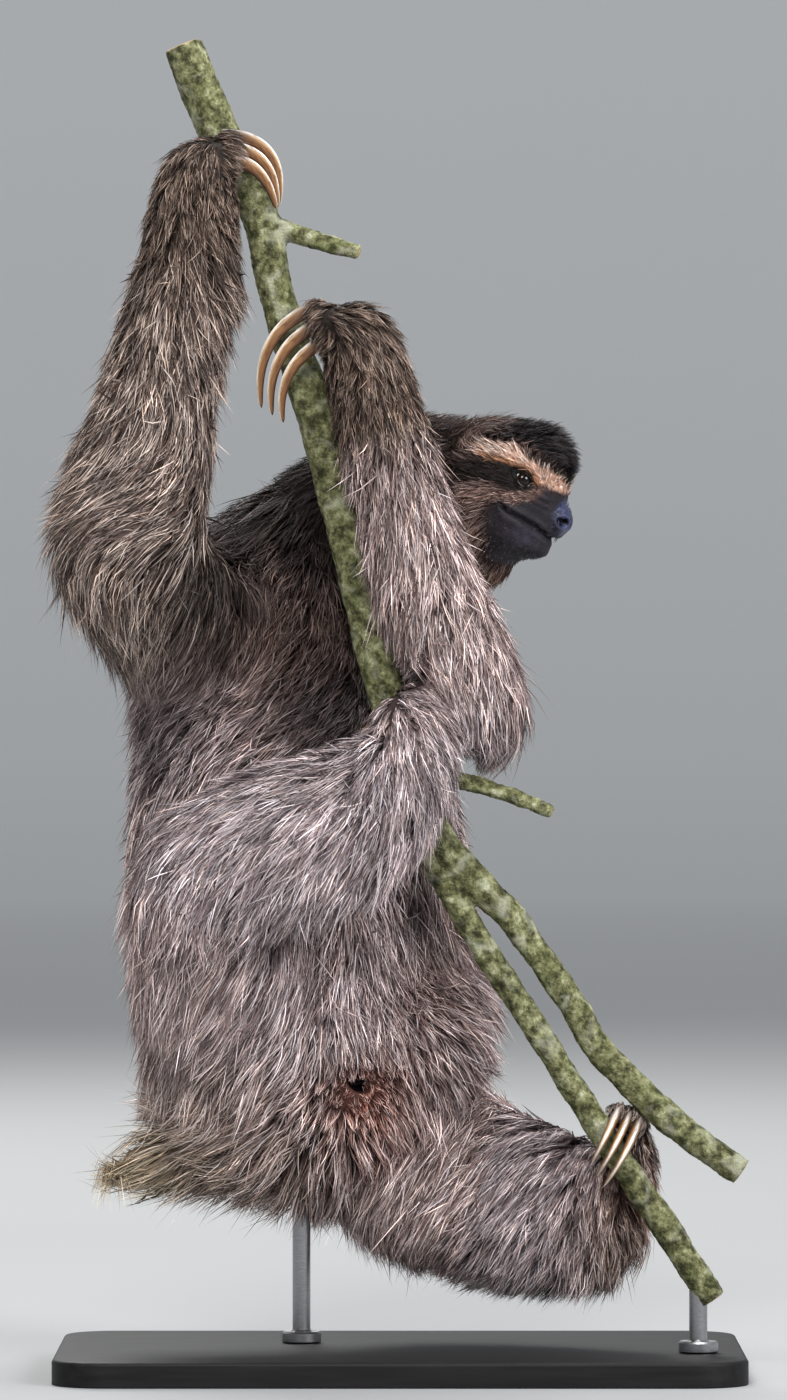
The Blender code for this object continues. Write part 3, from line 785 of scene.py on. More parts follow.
def found(bm, wanted, turn):
    """The vertices where wanted(points, turn) holds."""
    bm.verts.ensure_lookup_table()
    points = np.array([vertex.co for vertex in bm.verts]) / MM
    return [bm.verts[i] for i in np.flatnonzero(wanted(points, turn))]


def refine(mesh, wanted, rounds):
    """Cuts the faces where wanted(points, turn) holds in four and softens them, this many times."""
    every_way = {"use_axis_x": True, "use_axis_y": True, "use_axis_z": True}
    bm = bmesh.new()
    bm.from_mesh(mesh)
    for turn in range(rounds):
        chosen = set(found(bm, wanted, turn))
        edges = [edge for edge in bm.edges if edge.verts[0] in chosen and edge.verts[1] in chosen]
        bmesh.ops.subdivide_edges(bm, edges=edges, cuts=1, use_grid_fill=True)
        soft = found(bm, wanted, turn)
        for _ in range(REFINE_SOFTENING):
            bmesh.ops.smooth_vert(bm, verts=soft, factor=0.5, **every_way)
    bm.to_mesh(mesh)
    bm.free()


def vent_region(points, _turn):
    """Where the skin is finer round the vent."""
    return np.linalg.norm(points - VENT, axis=1) < VENT_FINE


def face_region(points, turn):
    """Where the skin of the head is finest: its face, then its eyes, nostrils and mouth."""
    q = in_head(points)
    f, s, u = q.T
    face = (np.abs(s) < 34) & (u < 40) & (u > -44) & (f > FACE_FROM[turn]) & (f < 46)
    if turn < 2:
        return face
    gap, _ = line_distance(f, u, MOUTH)
    fine = (gap < 3.2) | ((f > 32) & (u > -20) & (u < 3))
    for side in (-1, 1):
        across, higher, out, _ = from_eye(q, side)
        fine |= (np.hypot(across, higher) < 9.5) & (out > -4)
    return face & fine


def part_of(points):
    """The index in FLESH of the node whose surface is nearest to each point."""
    corners, faces, owner = [], [], []
    for index, name in enumerate(FLESH):
        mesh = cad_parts[name].data
        first = len(corners)
        corners.extend(vertex.co / MM for vertex in mesh.vertices)
        for polygon in mesh.polygons:
            faces.append([first + v for v in polygon.vertices])
            owner.append(index)
    tree = BVHTree.FromPolygons(corners, faces)
    return np.array([owner[tree.find_nearest(point)[2]] for point in points.tolist()])


def per_part(key, part):
    """A number of COAT for the part of each point."""
    return np.array([COAT[name][key] for name in FLESH], float)[part]


def in_parts(part, names):
    return np.isin(part, [FLESH.index(name) for name in names])


def head_share(points, part):
    """How much the head's own coat rules at each point."""
    return ease((in_head(points)[:, 0] + 44) / 10) * in_parts(part, ["head"])


def anchored(q, columns):
    """Columns of HEAD_COAT blended at points of the head's frame."""
    table = np.array(HEAD_COAT)
    folded = np.column_stack([q[:, 0], np.abs(q[:, 1]), q[:, 2]])
    distance = ((folded[:, None, :] - table[None, :, :3]) ** 2).sum(axis=2)
    closest = distance.min(axis=1, keepdims=True)
    weights = np.exp(-(distance - closest) / (2 * HEAD_REACH**2))
    weights /= weights.sum(axis=1, keepdims=True)
    return weights @ table[:, columns]


def colouring(points, part, edges):
    """Weights of the colourings at each point of the skin, one column for each of COLOURS."""
    weights = np.zeros((len(points), len(COLOURS)))
    for index, name in enumerate(FLESH):
        weights[part == index, COLOUR_NAMES.index(COAT[name][COLOURING])] = 1
    weights = evened(weights, edges, 12)

    def paint(name, share):
        share = np.clip(share, 0, 1)[:, None]
        weights[:] *= 1 - share
        weights[:, COLOUR_NAMES.index(name)] += share[:, 0]

    inner = in_parts(part, INNER)
    for x, y, z, reach, name, strength in PATCHES:
        where = inner if z > INNER_FROM and name == "shade" else 1
        paint(name, where * strength * near(points, (x, y, z), reach))

    q = in_head(points)
    f, s, u = q.T
    head = head_share(points, part)
    wobble = np.zeros(len(points))
    wobble[head > 0] = [RAGGED * noise.noise(Vector(p) * RAGGED_SPACING) for p in points[head > 0]]
    paint("cheek", head * 0.3 * ease((12 - u) / 8) * ease((f + 20) / 16))
    paint("throat", head * 0.8 * ease((-14 - u + wobble) / 14))
    for name, line, begins, strength in MARKINGS:
        gap, width = line_distance(f, u, line)
        edge = ease((width - gap + wobble) / 1.8 + 0.5)
        paint(name, head * edge * ease((f - begins) / 10) * strength)
    crown_u = np.interp(f, *zip(*CROWN_EDGE)) + wobble
    paint("crown", head * ease((u - crown_u) / 2.4 + 0.5) * ease((f + 19) / 20))
    gap, _ = line_distance(f, u, MUZZLE_EDGE)
    edge_f, edge_u = zip(*MUZZLE_EDGE[:-1])
    within = (f > np.interp(u, edge_u, edge_f)) & (u < edge_u[-1])
    muzzle = ease((np.where(within, gap, -gap) + wobble * 1.5) / 5 + 0.5) * ease((u + 41) / 6)
    paint("muzzle", head * muzzle)
    # Painted sheen: a lighter blue-grey on the lower jaw.
    paint("jaw_sheen", head * muzzle * 0.8 * hill(f, 21, 7) * hill(u, -20.5, 5))
    # The nose pad, its blue tint painted sky reflection.
    pad = np.hypot((u + 6.5) / 11, s / 10)
    paint("nose", head * ease((1.15 - pad) / 0.45) * ease((f - 27) / 7))
    for side in (-1, 1):
        across, higher, out, ring = from_eye(q, side)
        paint("mask", head * ease((2.1 - ring) / 0.6) * (out > -6))
        # Painted highlight: a pale line along the lower lid's rim.
        lower = ease(-higher - 1) * ease((3.2 - np.abs(across)) / 1.5) * (out > 0)
        paint("lid_rim_highlight", head * lower * ease((1.34 - ring) / 0.08) * ease((ring - 1.1) / 0.08))
    return weights


def slit(points, vent):
    """1 on the edge of the vent, an oblique slit, and less inside it."""
    middle, facing = vent
    off = points - middle
    out, along = off @ facing, off @ VENT_ALONG
    across = np.sqrt(np.maximum((off**2).sum(axis=1) - along**2 - out**2, 0))
    ring = np.hypot(along / VENT_SIZE[0], across / VENT_SIZE[1])
    return np.where(np.abs(out) > VENT_REACH, np.inf, ring)


def filled_nodes():
    """The body's nodes as one mesh, with balls that fill the eye sockets, the nape and the knuckles."""
    whole = gathered(FLESH, SEAM)
    filler = bmesh.new()
    filler.from_mesh(whole)
    for side in (-1, 1):
        centre, sight, _, _ = eye_frame(side)
        turn = Vector(sight).to_track_quat("Z", "Y").to_matrix().to_4x4()
        for middle in (centre, centre - EYE_SHIFT):
            place = Matrix(HEAD.tolist()) @ Matrix.Translation(Vector(middle + sight * SOCKET_OUT)) @ turn
            place = Matrix.Scale(MM, 4) @ place @ Matrix.Diagonal((*SOCKET, 1))
            bmesh.ops.create_uvsphere(filler, u_segments=24, v_segments=12, radius=1, matrix=place)
    for middle, radius in [NAPE] + [(knuckle, KNUCKLE_RADIUS) for knuckle in KNUCKLES]:
        place = Matrix.Scale(MM, 4) @ Matrix.Translation(Vector(middle)) @ Matrix.Scale(radius, 4)
        bmesh.ops.create_uvsphere(filler, u_segments=16, v_segments=10, radius=1, matrix=place)
    filler.to_mesh(whole)
    filler.free()
    return whole


def draw_in(mesh):
    """Moves the surface in, to leave room for the coat, and evens it."""
    points, normals = arrays(mesh)
    edges = edges_of(mesh)
    part = part_of(points)
    head = head_share(points, part)
    depth = mixed(per_part(SKIN_DEPTH, part), anchored(in_head(points), [3])[:, 0] * HEAD_TUCK, head)
    depth = evened(depth, edges, 6)[:, 0]
    depth = limited(depth, claw_gap(points), *CLAW_LIMITS["skin"])
    depth = limited(depth, knuckle_gaps(points).min(axis=1), *KNUCKLE_LIMITS["skin"])
    points = points - normals * (depth + SEAM)[:, None]
    sharp, smooth = evened(points, edges, 2), evened(points, edges, 8)
    move_to(mesh, mixed(smooth, sharp, ease(head * 1.4)[:, None]))


def make_skin():
    """The skin, and what the coat needs of it: its mesh, points, normals, parts, colour weights and vent."""
    mesh = one_surface(filled_nodes(), SKIN_VOXEL, SKIN_SOFTENING)
    draw_in(mesh)
    refine(mesh, vent_region, 2)
    points, normals = arrays(mesh)
    nearest_one = np.linalg.norm(points - VENT, axis=1).argmin()
    vent = (points[nearest_one].copy(), normals[nearest_one].copy())
    move_to(mesh, points - normals * (VENT_DEPTH * ease((1.5 - slit(points, vent)) / 0.9))[:, None])

    refine(mesh, face_region, 3)
    points, normals = arrays(mesh)
    f, s, u = in_head(points).T
    part = part_of(points)
    face = (np.abs(s) < 36) & (f > 0) & (f < 48) & (np.abs(u) < 46) & in_parts(part, ["head"])
    points[face] = face_form(points[face], normals[face])
    move_to(mesh, points)
    mesh.shade_smooth()
    points, normals = arrays(mesh)
    weights = colouring(points, part, edges_of(mesh))

    # Painted shade: the vent's pit and the nostrils are coloured near black.
    dark = ease((1.5 - slit(points, vent)) / 0.3)
    for side in (-1, 1):
        forward, left, up = from_nostril(in_head(points), side)
        ring = np.hypot(left / NOSTRIL_SIZE[1], up / NOSTRIL_SIZE[2])
        dark = np.maximum(dark, ease((0.95 - ring) / 0.3) * (np.abs(forward) < 9))
    share = np.full((len(COLOURS), 1), SKIN_TONE)
    share[BARE] = BARE_TONE
    colours = weights @ mixed(STOPS[:, 0], STOPS[:, 1], share)
    wet = weights[:, COLOUR_NAMES.index("nose")] * (1 - dark)
    store(mesh, "Tint", mixed(colours, np.array(linear(PIT_SHADE)), dark[:, None]))
    store(mesh, "Wet", wet[:, None])
    dress(linked("skin", mesh), skin_finish(), FLESH)
    skin = {"mesh": mesh, "points": points, "normals": normals, "part": part, "weights": weights}
    return {**skin, "vent": vent}


def skin_finish():
    """Tanned skin of a mounted animal: matt and pored, and on the nose pad smooth and a little moist."""
    made, shader = finish("Sloth skin, pored and matt", IOR=1.4)
    tint = add(shader, "Attribute", {}, attribute_name="Tint")
    wet = add(shader, "Attribute", {}, attribute_name="Wet").outputs["Fac"]
    place = add(shader, "TexCoord", {}).outputs["Object"]
    # Mottles about 3 mm across, pores about 0.5 mm apart and wrinkles about 1.5 mm apart.
    mottle = add(shader, "TexNoise", {"Vector": place, "Scale": 320, "Detail": 5})
    shades = ((0.3, (0.72, 0.7, 0.7, 1)), (0.7, (1.25, 1.24, 1.28, 1)))
    shade = add(shader, "ValToRGB", {"Fac": mottle}, shades)
    base = add(shader, "Mix", {"Factor": 1, "A": tint, "B": shade}, **MULTIPLIED)
    pores = add(shader, "TexVoronoi", {"Vector": place, "Scale": 1900})
    wrinkles = add(shader, "TexNoise", {"Vector": place, "Scale": 700, "Detail": 4})
    relief = add(shader, "Math", {0: pores, 1: wrinkles}, operation="ADD")
    bump = add(shader, "Bump", {"Height": relief, "Strength": 0.35, "Distance": 0.0003})
    rough = add(shader, "MapRange", {"Value": wet, "To Min": 0.5, "To Max": 0.24})
    gloss = add(shader, "MapRange", {"Value": wet, "To Min": 0.22, "To Max": 0.7})
    feed(shader, Base_Color=base, Normal=bump, Roughness=rough, Specular_IOR_Level=gloss)
    return made


# ---- Coat ----

# Each piece of the coat, with the parts it grows on. The trunk's is divided at the flanks.
PIECES = {
    "coat_head": ("head", "neck"),
    "coat_belly": ("trunk",),
    "coat_back": ("trunk", "tail"),
    "coat_arm_right": ("upper_arm_right", "forearm_right", "hand_right"),
    "coat_arm_left": ("upper_arm_left", "forearm_left", "hand_left"),
    "coat_leg_right": ("thigh_right", "shank_right", "foot_right"),
    "coat_leg_left": ("thigh_left", "shank_left", "foot_left"),
}
BELLY_WARD = unit(np.array([0.53, -0.85]))
SPINE_LINE = (-60, 38)  # the trunk's middle in plan

# Each kind of hair: half its width, how much it clumps, and its shares of length, of pale tips and of value.
GUARD = {"half": 0.3, "clumping": 0.6, "length": 1, "pale": 1, "value": 1}
# The undercoat's lower value is partly painted shade deep in the coat.
UNDER = {"half": 0.75, "clumping": 0.25, "length": 0.6, "pale": 0.25, "value": 0.55}
TAPER = (1, 0.95, 0.7, 0)  # a strand's width from root to tip
# How many strands of each kind a piece has, and how many square millimetres of skin each clump takes.
STRANDS, HEAD_STRANDS = (29000, 10500), (28000, 10000)
CLUMP_AREA, HEAD_CLUMP_AREA, FEWEST_CLUMPS = 42, 5.625, 400
FACE_SHARE = 3.2  # how much denser the hair is on the head
COARSE = 0.06  # the share of the skin's triangles that the bake map's unwrap keeps
GUIDE_STEPS = 4
ROOTED = 0.6  # how deep a strand starts in the skin
LENGTHS, GATHERED = (0.62, 1.08), (0.5, 1.2)  # a strand's share of its guide's length, and of its clumping
SWAY, ROUGH_SWAY, BEND = 0.1, 0.25, 0.04  # how far it strays by its tip, more in rough hair, and midway
STRAYS = 0.07  # the share of strands that stand off the others
STRAY_SWAY, STRAY_OUT = 0.26, 0.16  # how far those stray to the side and outwards
# The share of strands that turn pale, how pale those and the others turn, and how much they and clumps vary.
PALE_SHARE, PALE, FAINT = 0.45, (0.72, 1.18), (0, 0.22)
VALUE_SPREAD, WARMTH_SPREAD, CLUMP_SPREAD = 0.3, 0.04, 0.19
RISES = (0.62, 1.0)  # how high a clump's guide stands in the coat, as a share of its depth
STUBBLE = {"length": 2, "depth": 0.6}  # the most on bare skin
BARE_GROWTH = 0.4  # how dense the stubble is
STRAY_REACH = 17  # how far a hair may reach past the CAD model's box
PATCH = 0.003  # each strand's share of the bake map
ROWS = 20000  # how many points are compared with a whole table at once


def lie_of(points, part):
    """The direction in which the hair grows at each point of the skin, not yet laid on it."""
    table = np.array(LIE, float)
    direction = np.tile(DOWN * HANGING, (len(points), 1))
    for start in range(0, len(points), ROWS):
        rows = slice(start, start + ROWS)
        direction[rows] += near(points[rows, None], table[:, :3], LIE_REACH) @ unit(table[:, 3:])
    q = in_head(points)
    own = anchored(q, [5, 6, 7])
    own[:, 1] *= np.sign(q[:, 1] + 1e-6)
    own = unit(own) @ HEAD[:3, :3].T
    return unit(mixed(unit(direction), own, head_share(points, part)[:, None]))


def plan_coat(skin):
    """Adds the coat's depth and the hair's length, lie and roughness to the skin, and returns its growth."""
    points, part = skin["points"], skin["part"]
    edges = edges_of(skin["mesh"])
    q, head = in_head(points), head_share(points, part)
    gaps = knuckle_gaps(points)
    from_vent = points - skin["vent"][0]
    away = np.linalg.norm(from_vent, axis=1)
    for key, of_part, of_head, rounds in (("depth", COAT_DEPTH, 3, 6), ("length", HAIR_LENGTH, 4, 14)):
        values = evened(per_part(of_part, part), edges, rounds)[:, 0]
        values = mixed(values, anchored(q, [of_head])[:, 0], head)
        values = limited(values, claw_gap(points), *CLAW_LIMITS[key])
        values = limited(values, gaps.min(axis=1), *KNUCKLE_LIMITS[key])
        skin[key] = limited(values, away, *VENT_LIMITS[key])
    for x, y, z, reach, short in SHORTER:
        share = near(points, (x, y, z), reach)
        skin["length"] = mixed(skin["length"], np.minimum(skin["length"], short), share)
    radial = ease((20 - away) / 10) * ease((5 - from_vent[:, 2]) / 6)
    lie = unit(mixed(lie_of(points, part), unit(from_vent), radial[:, None]))
    ward = unit(CLAW_WARD)[gaps.argmin(axis=1)]
    skin["lie"] = unit(mixed(lie, ward, 0.8 * ease((15 - gaps.min(axis=1)) / 7)[:, None]))
    skin["rough"] = near(points, ROUGH[:3], ROUGH[3])

    # The bare muzzle and nose grow only stubble, and the eyes' openings none.
    bare = ease(skin["weights"][:, BARE].sum(axis=1) * 1.3 - 0.2)
    growth = mixed(1.0, BARE_GROWTH, bare)
    for key, most in STUBBLE.items():
        skin[key] = mixed(skin[key], np.minimum(skin[key] * 0.3, most), bare)
    for side in (-1, 1):
        _, _, out, ring = from_eye(q, side)
        growth[(ring < 1.4) & (out > -5) & (head > 0)] = 0
    growth[slit(points, skin["vent"]) < 1.25] = 0
    return growth


def sampled(skin, faces, area, count):
    """Random roots on the skin's triangles, in proportion to area, with what the strands need of the skin."""
    corner = faces[rng.choice(len(faces), size=count, p=area / area.sum())]
    a, b = rng.random(count), rng.random(count)
    flip = a + b > 1
    a, b = np.where(flip, 1 - a, a), np.where(flip, 1 - b, b)
    share = np.column_stack([1 - a - b, a, b])
    roots = {}
    for key in ("points", "normals", "weights", "lie", "length", "depth", "rough"):
        values = skin[key].reshape(len(skin["points"]), -1)
        blend = (values[corner] * share[:, :, None]).sum(axis=1)
        roots[key] = blend[:, 0] if skin[key].ndim == 1 else blend
    roots["normals"] = unit(roots["normals"])
    return roots


def led(seeds, skin, tree):
    """A guide for each seed: points that follow the skin the way the hair grows, rising through the coat."""
    base, normal, lie = seeds["points"].copy(), seeds["normals"].copy(), seeds["lie"].copy()
    rise = seeds["depth"] * seeds["rise"]
    step = np.sqrt(np.maximum(seeds["length"] ** 2 - rise**2, 4)) / GUIDE_STEPS
    height = np.zeros(len(base))
    curve = [base - normal * ROOTED]
    for level in range(1, GUIDE_STEPS + 1):
        facing = (lie * normal).sum(axis=1)
        hang = np.clip(facing, 0, 0.6)
        along = unit(lie - facing[:, None] * normal) * np.sqrt(1 - hang**2)[:, None]
        base = base + along * step[:, None]
        for i, point in enumerate(base.tolist()):
            _, index, _ = tree.find(point)
            turn = skin["normals"][index]
            if turn @ normal[i] < -0.2:
                continue  # the nearest skin is another part's
            normal[i] = turn
            gap = (skin["points"][index] - base[i]) @ turn
            base[i] += turn * (gap if gap > 0 else gap * 0.55)
            lie[i] = mixed(lie[i], skin["lie"][index], 0.7)
        height += hang * step * 0.8
        lift = rise * (1 - (1 - level / GUIDE_STEPS) ** 1.6)
        curve.append(base + normal * (lift + height)[:, None])
    return curve


def grown(roots, seeds, curves, kind):
    """Strands as points of (level, strand, 3), the half width across each level, and each strand's value."""
    count = len(roots["points"])
    normals, length = roots["normals"], roots["length"]
    # A strand joins the clump whose seed is nearest, measured a little above the skin.
    guide = nearest(tree_of(seeds["points"] + seeds["normals"] * 5), roots["points"] + normals * 5)
    scale = rng.uniform(*LENGTHS, count) * kind["length"]
    rooted = roots["points"] - seeds["points"][guide]
    gather = np.clip(kind["clumping"] * rng.uniform(*GATHERED, len(seeds["points"]))[guide], 0, 0.9)
    stray = rng.random(count) < STRAYS
    sway = rng.normal(size=(count, 3))
    sway -= (sway * normals).sum(axis=1)[:, None] * normals
    sway *= (length * (np.where(stray, STRAY_SWAY, SWAY) + ROUGH_SWAY * roots["rough"]))[:, None]
    bend = rng.normal(size=(count, 3)) * (length * BEND)[:, None]
    out = normals * (np.where(stray, STRAY_OUT, 0) * length)[:, None]
    points = np.empty((len(TAPER), count, 3))
    for level, share in enumerate(np.linspace(0, 1, len(TAPER))):
        low = min(int(share * GUIDE_STEPS), GUIDE_STEPS - 1)
        path = mixed(curves[low][guide], curves[low + 1][guide], share * GUIDE_STEPS - low)
        lean = (path - curves[0][guide]) * scale[:, None]
        spread = rooted * (1 - gather * share**1.2)[:, None]
        points[level] = curves[0][guide] + lean + spread
        points[level] += sway * share**1.4 + bend * math.sin(share * 5) + out * share**2
    width = np.clip(0.3 + length / 34, 0.42, 1.15)
    thickness = kind["half"] * width * rng.uniform(0.75, 1.2, count)
    return points, np.outer(TAPER, thickness), seeds["value"][guide]


def ribbons(points, half, normals):
    """Thin blades along the strands, each rolled a little about its own length.

    It returns their vertices and triangles, and for each vertex of a blade its share from root to tip and
    from edge to edge.
    """
    levels, count = points.shape[:2]
    along = unit(np.gradient(points, axis=0))
    roll = unit(normals + 0.55 * rng.normal(size=normals.shape))
    across = unit(np.cross(along, roll[None])) * half[:, :, None]
    per = 2 * levels - 1
    vertices = np.empty((count, per, 3))
    vertices[:, 0:-1:2] = (points - across)[:-1].swapaxes(0, 1)
    vertices[:, 1:-1:2] = (points + across)[:-1].swapaxes(0, 1)
    vertices[:, -1] = points[-1]
    shape = [(per - 3, per - 2, per - 1)]
    for a in range(0, per - 3, 2):
        shape += [(a, a + 1, a + 3), (a, a + 3, a + 2)]
    faces = (np.arange(count)[:, None, None] * per + np.array(shape)[None]).reshape(-1, 3)
    steps = np.append(np.repeat(np.arange(levels - 1), 2), levels - 1) / (levels - 1)
    sides = np.append(np.tile([0, 1], levels - 1), 0.5)
    return vertices.reshape(-1, 3), faces, steps, sides


def strand_colours(weights, clump, steps, kind):
    """Each strand's colour at each of its vertices: dark at the root, and on about half pale to the tip."""
    root, middle, tip = (weights @ STOPS[:, i] for i in range(3))
    count = len(weights)
    pale = np.where(rng.random(count) < PALE_SHARE, rng.uniform(*PALE, count), rng.uniform(*FAINT, count))
    value = np.exp(rng.normal(0, VALUE_SPREAD, count)) * clump * kind["value"]
    warmth = rng.normal(0, WARMTH_SPREAD, count)
    tone = value[:, None] * np.column_stack([1 + warmth, np.ones(count), 1 - warmth])
    colours = np.empty((count, len(steps), 3))
    for i, step in enumerate(steps):
        # Darker towards the root, partly the hair's own colour and partly painted shade deep in the coat.
        colour = mixed(root, middle, ease(0.1 + step / 0.5))
        paled = ease((step - 0.05) / 0.6) * pale * kind["pale"]
        colours[:, i] = mixed(colour, tip, paled[:, None]) * tone
    return colours.reshape(-1, 3)


def unwrapped(coarse, parts):
    """A flat map of these parts' stretch of skin: each triangle's corners there, and on the skin."""
    used, index = np.unique(coarse["faces"][in_parts(coarse["part"], parts)], return_inverse=True)
    carrier = to_object("unwrap", coarse["points"][used], index.reshape(-1, 3))
    bpy.context.view_layer.objects.active = carrier
    carrier.select_set(True)
    bpy.ops.object.mode_set(mode="EDIT")
    bpy.ops.mesh.select_all(action="SELECT")
    bpy.ops.uv.smart_project(angle_limit=math.radians(70), island_margin=0.002)
    bpy.ops.object.mode_set(mode="OBJECT")
    flat = column(carrier.data.uv_layers.active.data, "uv", 2).reshape(-1, 3, 2)
    order = column(carrier.data.loops, "vertex_index", 1, np.int64).reshape(-1, 3)
    bpy.data.objects.remove(carrier)
    return flat, coarse["points"][used][order]


def bake_places(flat, corner, roots):
    """Each root's place on the flat map."""
    closest = nearest(tree_of(corner.mean(axis=1)), roots)
    a, b, c = (corner[closest, i] for i in range(3))
    e1, e2, off = b - a, c - a, roots - a
    d11, d12, d22 = (e1 * e1).sum(1), (e1 * e2).sum(1), (e2 * e2).sum(1)
    o1, o2 = (off * e1).sum(1), (off * e2).sum(1)
    under = np.maximum(d11 * d22 - d12 * d12, 1e-9)
    share = np.column_stack([(d22 * o1 - d12 * o2) / under, (d11 * o2 - d12 * o1) / under])
    share = np.clip(share, 0, 1)
    share /= np.maximum(share.sum(axis=1, keepdims=True), 1)
    share = np.column_stack([1 - share.sum(axis=1), share])
    return (flat[closest] * share[:, :, None]).sum(axis=1)


WOOD_LINES = (  # the perch's stem and fork, as (x, z) in the plane of PERCH_Y
    ((-120, 733), (-100, 686), (-77, 640), (-69, 600), (-55, 554), (-37, 497), (-14, 400), (6, 330),
     (26, 288), (60, 255), (97, 202), (110, 180), (149, 141), (188, 113)),
    ((14, 290), (42, 243), (71, 198), (101, 151), (128, 109), (172, 43)),
)
PERCH_Y, WOOD_RADIUS = -45, 9


def clear_of_wood(points):
    """Which strands stay out of the perch."""
    centres = []
    for line in WOOD_LINES:
        for start, end in zip(line, line[1:]):
            for share in np.linspace(0, 1, 8):
                centres.append((mixed(start[0], end[0], share), PERCH_Y, mixed(start[1], end[1], share)))
    centres = np.array(centres)
    low, high = centres.min(axis=0) - WOOD_RADIUS, centres.max(axis=0) + WOOD_RADIUS
    clear = np.ones(points.shape[1], bool)
    for level in points:
        close = np.flatnonzero((level > low).all(axis=1) & (level < high).all(axis=1))
        for start in range(0, len(close), ROWS):
            rows = close[start : start + ROWS]
            gap = ((level[rows, None] - centres[None]) ** 2).sum(axis=2).min(axis=1)
            clear[rows[gap < WOOD_RADIUS**2]] = False
    return clear


def within_reach(points):
    """Which strands stay near the CAD model's box."""
    low, high = (np.array(corner) / MM for corner in cad_box)
    return ((points > low - STRAY_REACH) & (points < high + STRAY_REACH)).all(axis=(0, 2))


def coat_finish():
    """Dry, coarse hair, dull with a faint satin glint along each strand, and dusty between strands."""
    made, shader = finish("Sloth hair, coarse and dry", IOR=1.55, Roughness=0.62, Specular_IOR_Level=0.15)
    tint = add(shader, "Attribute", {}, attribute_name="Tint")
    place = add(shader, "TexCoord", {}).outputs["Object"]
    # Patches of dust and wear about 15 mm across.
    patches = add(shader, "TexNoise", {"Vector": place, "Scale": 65, "Detail": 3})
    wears = ((0.3, (0.84, 0.83, 0.83, 1)), (0.7, (1.14, 1.13, 1.12, 1)))
    wear = add(shader, "ValToRGB", {"Fac": patches}, wears)
    feed(shader, Base_Color=add(shader, "Mix", {"Factor": 1, "A": tint, "B": wear}, **MULTIPLIED))
    return made


def to_strands(name, vertices, triangles, colours, places):
    """The coat piece's object, with its colours and its bake map."""
    mesh = bpy.data.meshes.new(name)
    mesh.vertices.add(len(vertices))
    mesh.vertices.foreach_set("co", (vertices * MM).astype(np.float32).ravel())
    mesh.loops.add(triangles.size)
    mesh.loops.foreach_set("vertex_index", triangles.astype(np.int32).ravel())
    mesh.polygons.add(len(triangles))
    mesh.polygons.foreach_set("loop_start", np.arange(0, triangles.size, 3, dtype=np.int32))
    mesh.update(calc_edges=True)
    mesh.shade_smooth()
    store(mesh, "Tint", colours)
    layer = mesh.uv_layers.new(name="OFBake")
    layer.data.foreach_set("uv", places[triangles.ravel()].astype(np.float32).ravel())
    return linked(name, mesh)


def make_coat(skin):
    """The coat: seven pieces of strands, rooted all over the skin and gathered in clumps."""
    growth = plan_coat(skin)
    faces = triangles_of(skin["mesh"])
    corner = skin["points"][faces]
    area = np.linalg.norm(np.cross(corner[:, 1] - corner[:, 0], corner[:, 2] - corner[:, 0]), axis=1) / 2
    owner = skin["part"][faces[:, 0]]
    head = in_parts(owner, ["head"])
    belly = (corner.mean(axis=1)[:, :2] - SPINE_LINE) @ BELLY_WARD > 0
    # Short hair covers less, so more of it grows.
    crowding = np.clip(22 / skin["length"][faces[:, 0]], 1, 2.4)
    crowding[head] = FACE_SHARE
    tree = tree_of(skin["points"])
    coarse_mesh = applied(skin["mesh"], [("DECIMATE", {"ratio": COARSE})])
    coarse = {"points": arrays(coarse_mesh)[0], "faces": triangles_of(coarse_mesh)}
    coarse["part"] = skin["part"][nearest(tree, coarse["points"][coarse["faces"]].mean(axis=1))]

    hair = coat_finish()
    for name, parts in PIECES.items():
        here = in_parts(owner, parts)
        if name == "coat_belly":
            here &= belly
        elif name == "coat_back":
            here &= ~belly | in_parts(owner, ["tail"])
        strands, clump_area = (HEAD_STRANDS, HEAD_CLUMP_AREA) if "head" in parts else (STRANDS, CLUMP_AREA)
        density = area * growth[faces].min(axis=1) * here * crowding
        clumps = max(FEWEST_CLUMPS, int((area * here).sum() / clump_area))
        seeds = sampled(skin, faces, density, clumps)
        seeds["rise"] = rng.uniform(*RISES, clumps)
        seeds["value"] = np.exp(rng.normal(0, CLUMP_SPREAD, clumps))
        curves = led(seeds, skin, tree)
        flat_map = unwrapped(coarse, parts)
        vertices, triangles, colours, places = [], [], [], []
        for kind, count in zip((GUARD, UNDER), strands):
            roots = sampled(skin, faces, density, count)
            strand, half, value = grown(roots, seeds, curves, kind)
            keep = clear_of_wood(strand) & within_reach(strand)
            blade, shape, steps, sides = ribbons(strand[:, keep], half[:, keep], roots["normals"][keep])
            triangles.append(shape + sum(map(len, vertices)))
            vertices.append(blade)
            colours.append(strand_colours(roots["weights"][keep], value[keep], steps, kind))
            home = bake_places(*flat_map, roots["points"][keep])
            spot = home[:, None, :] + (np.column_stack([sides, steps])[None] - 0.5) * PATCH
            places.append(np.clip(spot, 0, 1).reshape(-1, 2))
        piece = to_strands(name, *map(np.vstack, (vertices, triangles, colours, places)))
        dress(piece, hair)


# ---- Eyes ----

RING_ANGLE = 60  # how many degrees the iris's ring grows over, from 0 on the line of sight to 1


